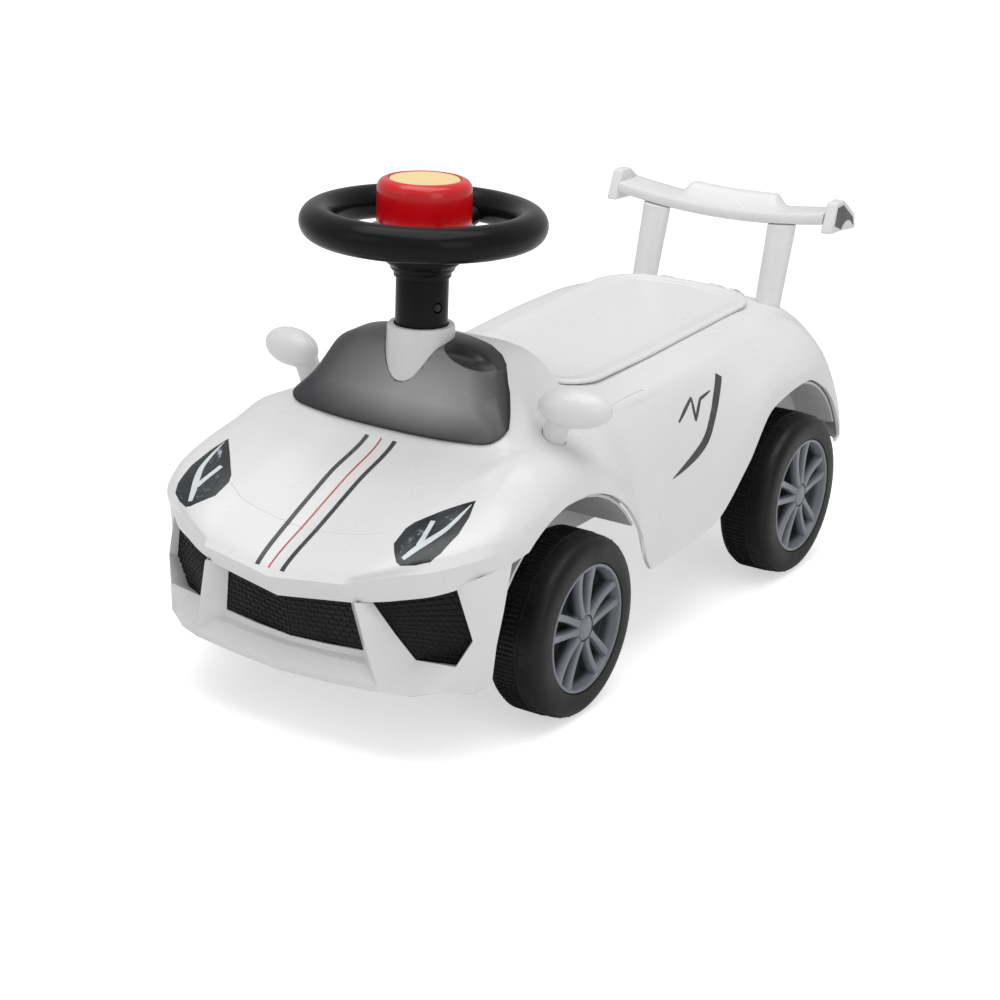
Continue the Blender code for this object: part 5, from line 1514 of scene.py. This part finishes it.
def paint_dish_shade(material):
    """Painted shade: the cap's colour darkens with depth towards the recessed floor, standing in for the shade between
    the bars and inside the rim.
    """
    tree = material.node_tree
    colour = tree.nodes["Principled BSDF"].inputs["Base Color"]
    depth = add_node(tree, "ShaderNodeAttribute", attribute_name="dish_depth").outputs["Fac"]
    # Painted shade: the deeper a point lies in the dish, the nearer its colour goes to near-black.
    tree.links.new(between(tree, spread(tree, depth, 0.0, 1.0, 5.0, 9.0), colour.links[0].from_socket,
                           (0.030, 0.032, 0.036)), colour)


# Painted shade in the recessed dish of every hub cap.
paint_dish_shade(HUB_GREY)
SPOKE_PAIRS = 5
BAR_PATH = [(9.0, 2.8), (14.0, 3.9), (20.0, 5.2), (27.0, 6.4), (34.0, 7.3), (40.0, 7.9), (44.0, 8.1)]
BAR_HALF_WIDTH = [3.2, 2.7, 2.5, 2.6, 2.8, 3.1, 3.5]
BAR_TOP = [-1.9, -2.4, -2.8, -2.9, -2.6, -1.9, -1.2]
DISH_FLOOR = -12.5


def spoke_bar(pair_angle, lean):
    path = smooth_line([(r, a, 0.0) for r, a in BAR_PATH], 4)
    sizes = smooth_line([(r, w, t) for (r, a), w, t in zip(BAR_PATH, BAR_HALF_WIDTH, BAR_TOP)], 4)
    turn = Matrix.Rotation(pair_angle, 4, 'Z')
    rings = []
    for i, (out, aside, _) in enumerate(path):
        ahead = Vector(path[min(i + 1, len(path) - 1)]) - Vector(path[max(i - 1, 0)])
        across = Vector((-ahead.y, ahead.x, 0)).normalized()
        half, top = sizes[i][1], sizes[i][2]
        ring = []
        for share, height in ((-1.25, DISH_FLOOR), (-1.0, top - 1.2), (-0.8, top - 0.35), (-0.4, top), (0.4, top),
                              (0.8, top - 0.35), (1.0, top - 1.2), (1.25, DISH_FLOOR)):
            point = Vector((out, aside, 0)) + across * (half * share)
            ring.append(turn @ (Vector((point.x, point.y * lean, height)) / 1000.0))
        rings.append(ring)
    return skinned("spoke", rings)


def hub_cap_shape():
    profile = [(0.0, -0.9), (4.0, -1.0), (7.0, -1.5), (8.6, -2.4), (9.8, -4.4), (11.2, -4.8), (12.2, -7.8),
               (13.6, DISH_FLOOR), (39.6, DISH_FLOOR), (42.6, -2.0), (43.3, -0.5), (44.9, -0.3), (45.45, -0.8),
               (45.5, -8.5), (43.6, -8.5), (41.2, DISH_FLOOR - 1.4), (9.0, DISH_FLOOR - 1.4), (8.6, -4.6), (0.0, -3.6)]
    spokes = [spoke_bar(math.radians(90.0 + 360.0 / SPOKE_PAIRS * index), lean)
              for index in range(SPOKE_PAIRS) for lean in (1.0, -1.0)]
    mesh = joined("hub_cap", [lathe(profile, steps=128, ease=0.5)] + spokes, True)
    layer = mesh.attributes.new("dish_depth", 'FLOAT', 'POINT')
    layer.data.foreach_set("value", [-1000.0 * vert.co.z for vert in mesh.vertices])
    return mesh


TYRE_MESH = tyre_mesh()
CAP_MESH = hub_cap_shape()
for end_name, end_y in (("front", -WHEELBASE_HALF), ("rear", WHEELBASE_HALF)):
    for side_name, side in SIDES.items():
        label = "%s_%s" % (end_name, side_name)
        stand = Vector((side, 0, 0)).to_track_quat('Z', 'Y').to_matrix().to_4x4()
        where = Matrix.Translation(wheel_place(side, end_y)) @ stand
        for piece, mesh, finish, node, slot in (("tyre_shell_", TYRE_MESH, TYRE_BLACK, "tyre_", "tyre_black"),
                                                ("wheel_cap_", CAP_MESH, HUB_GREY, "hub_cap_", "hub_grey")):
            copy = mesh.copy()
            copy.transform(where)
            add_piece(piece + label, copy, finish, "wheel_" + label, (node + label,), 34.0, False)
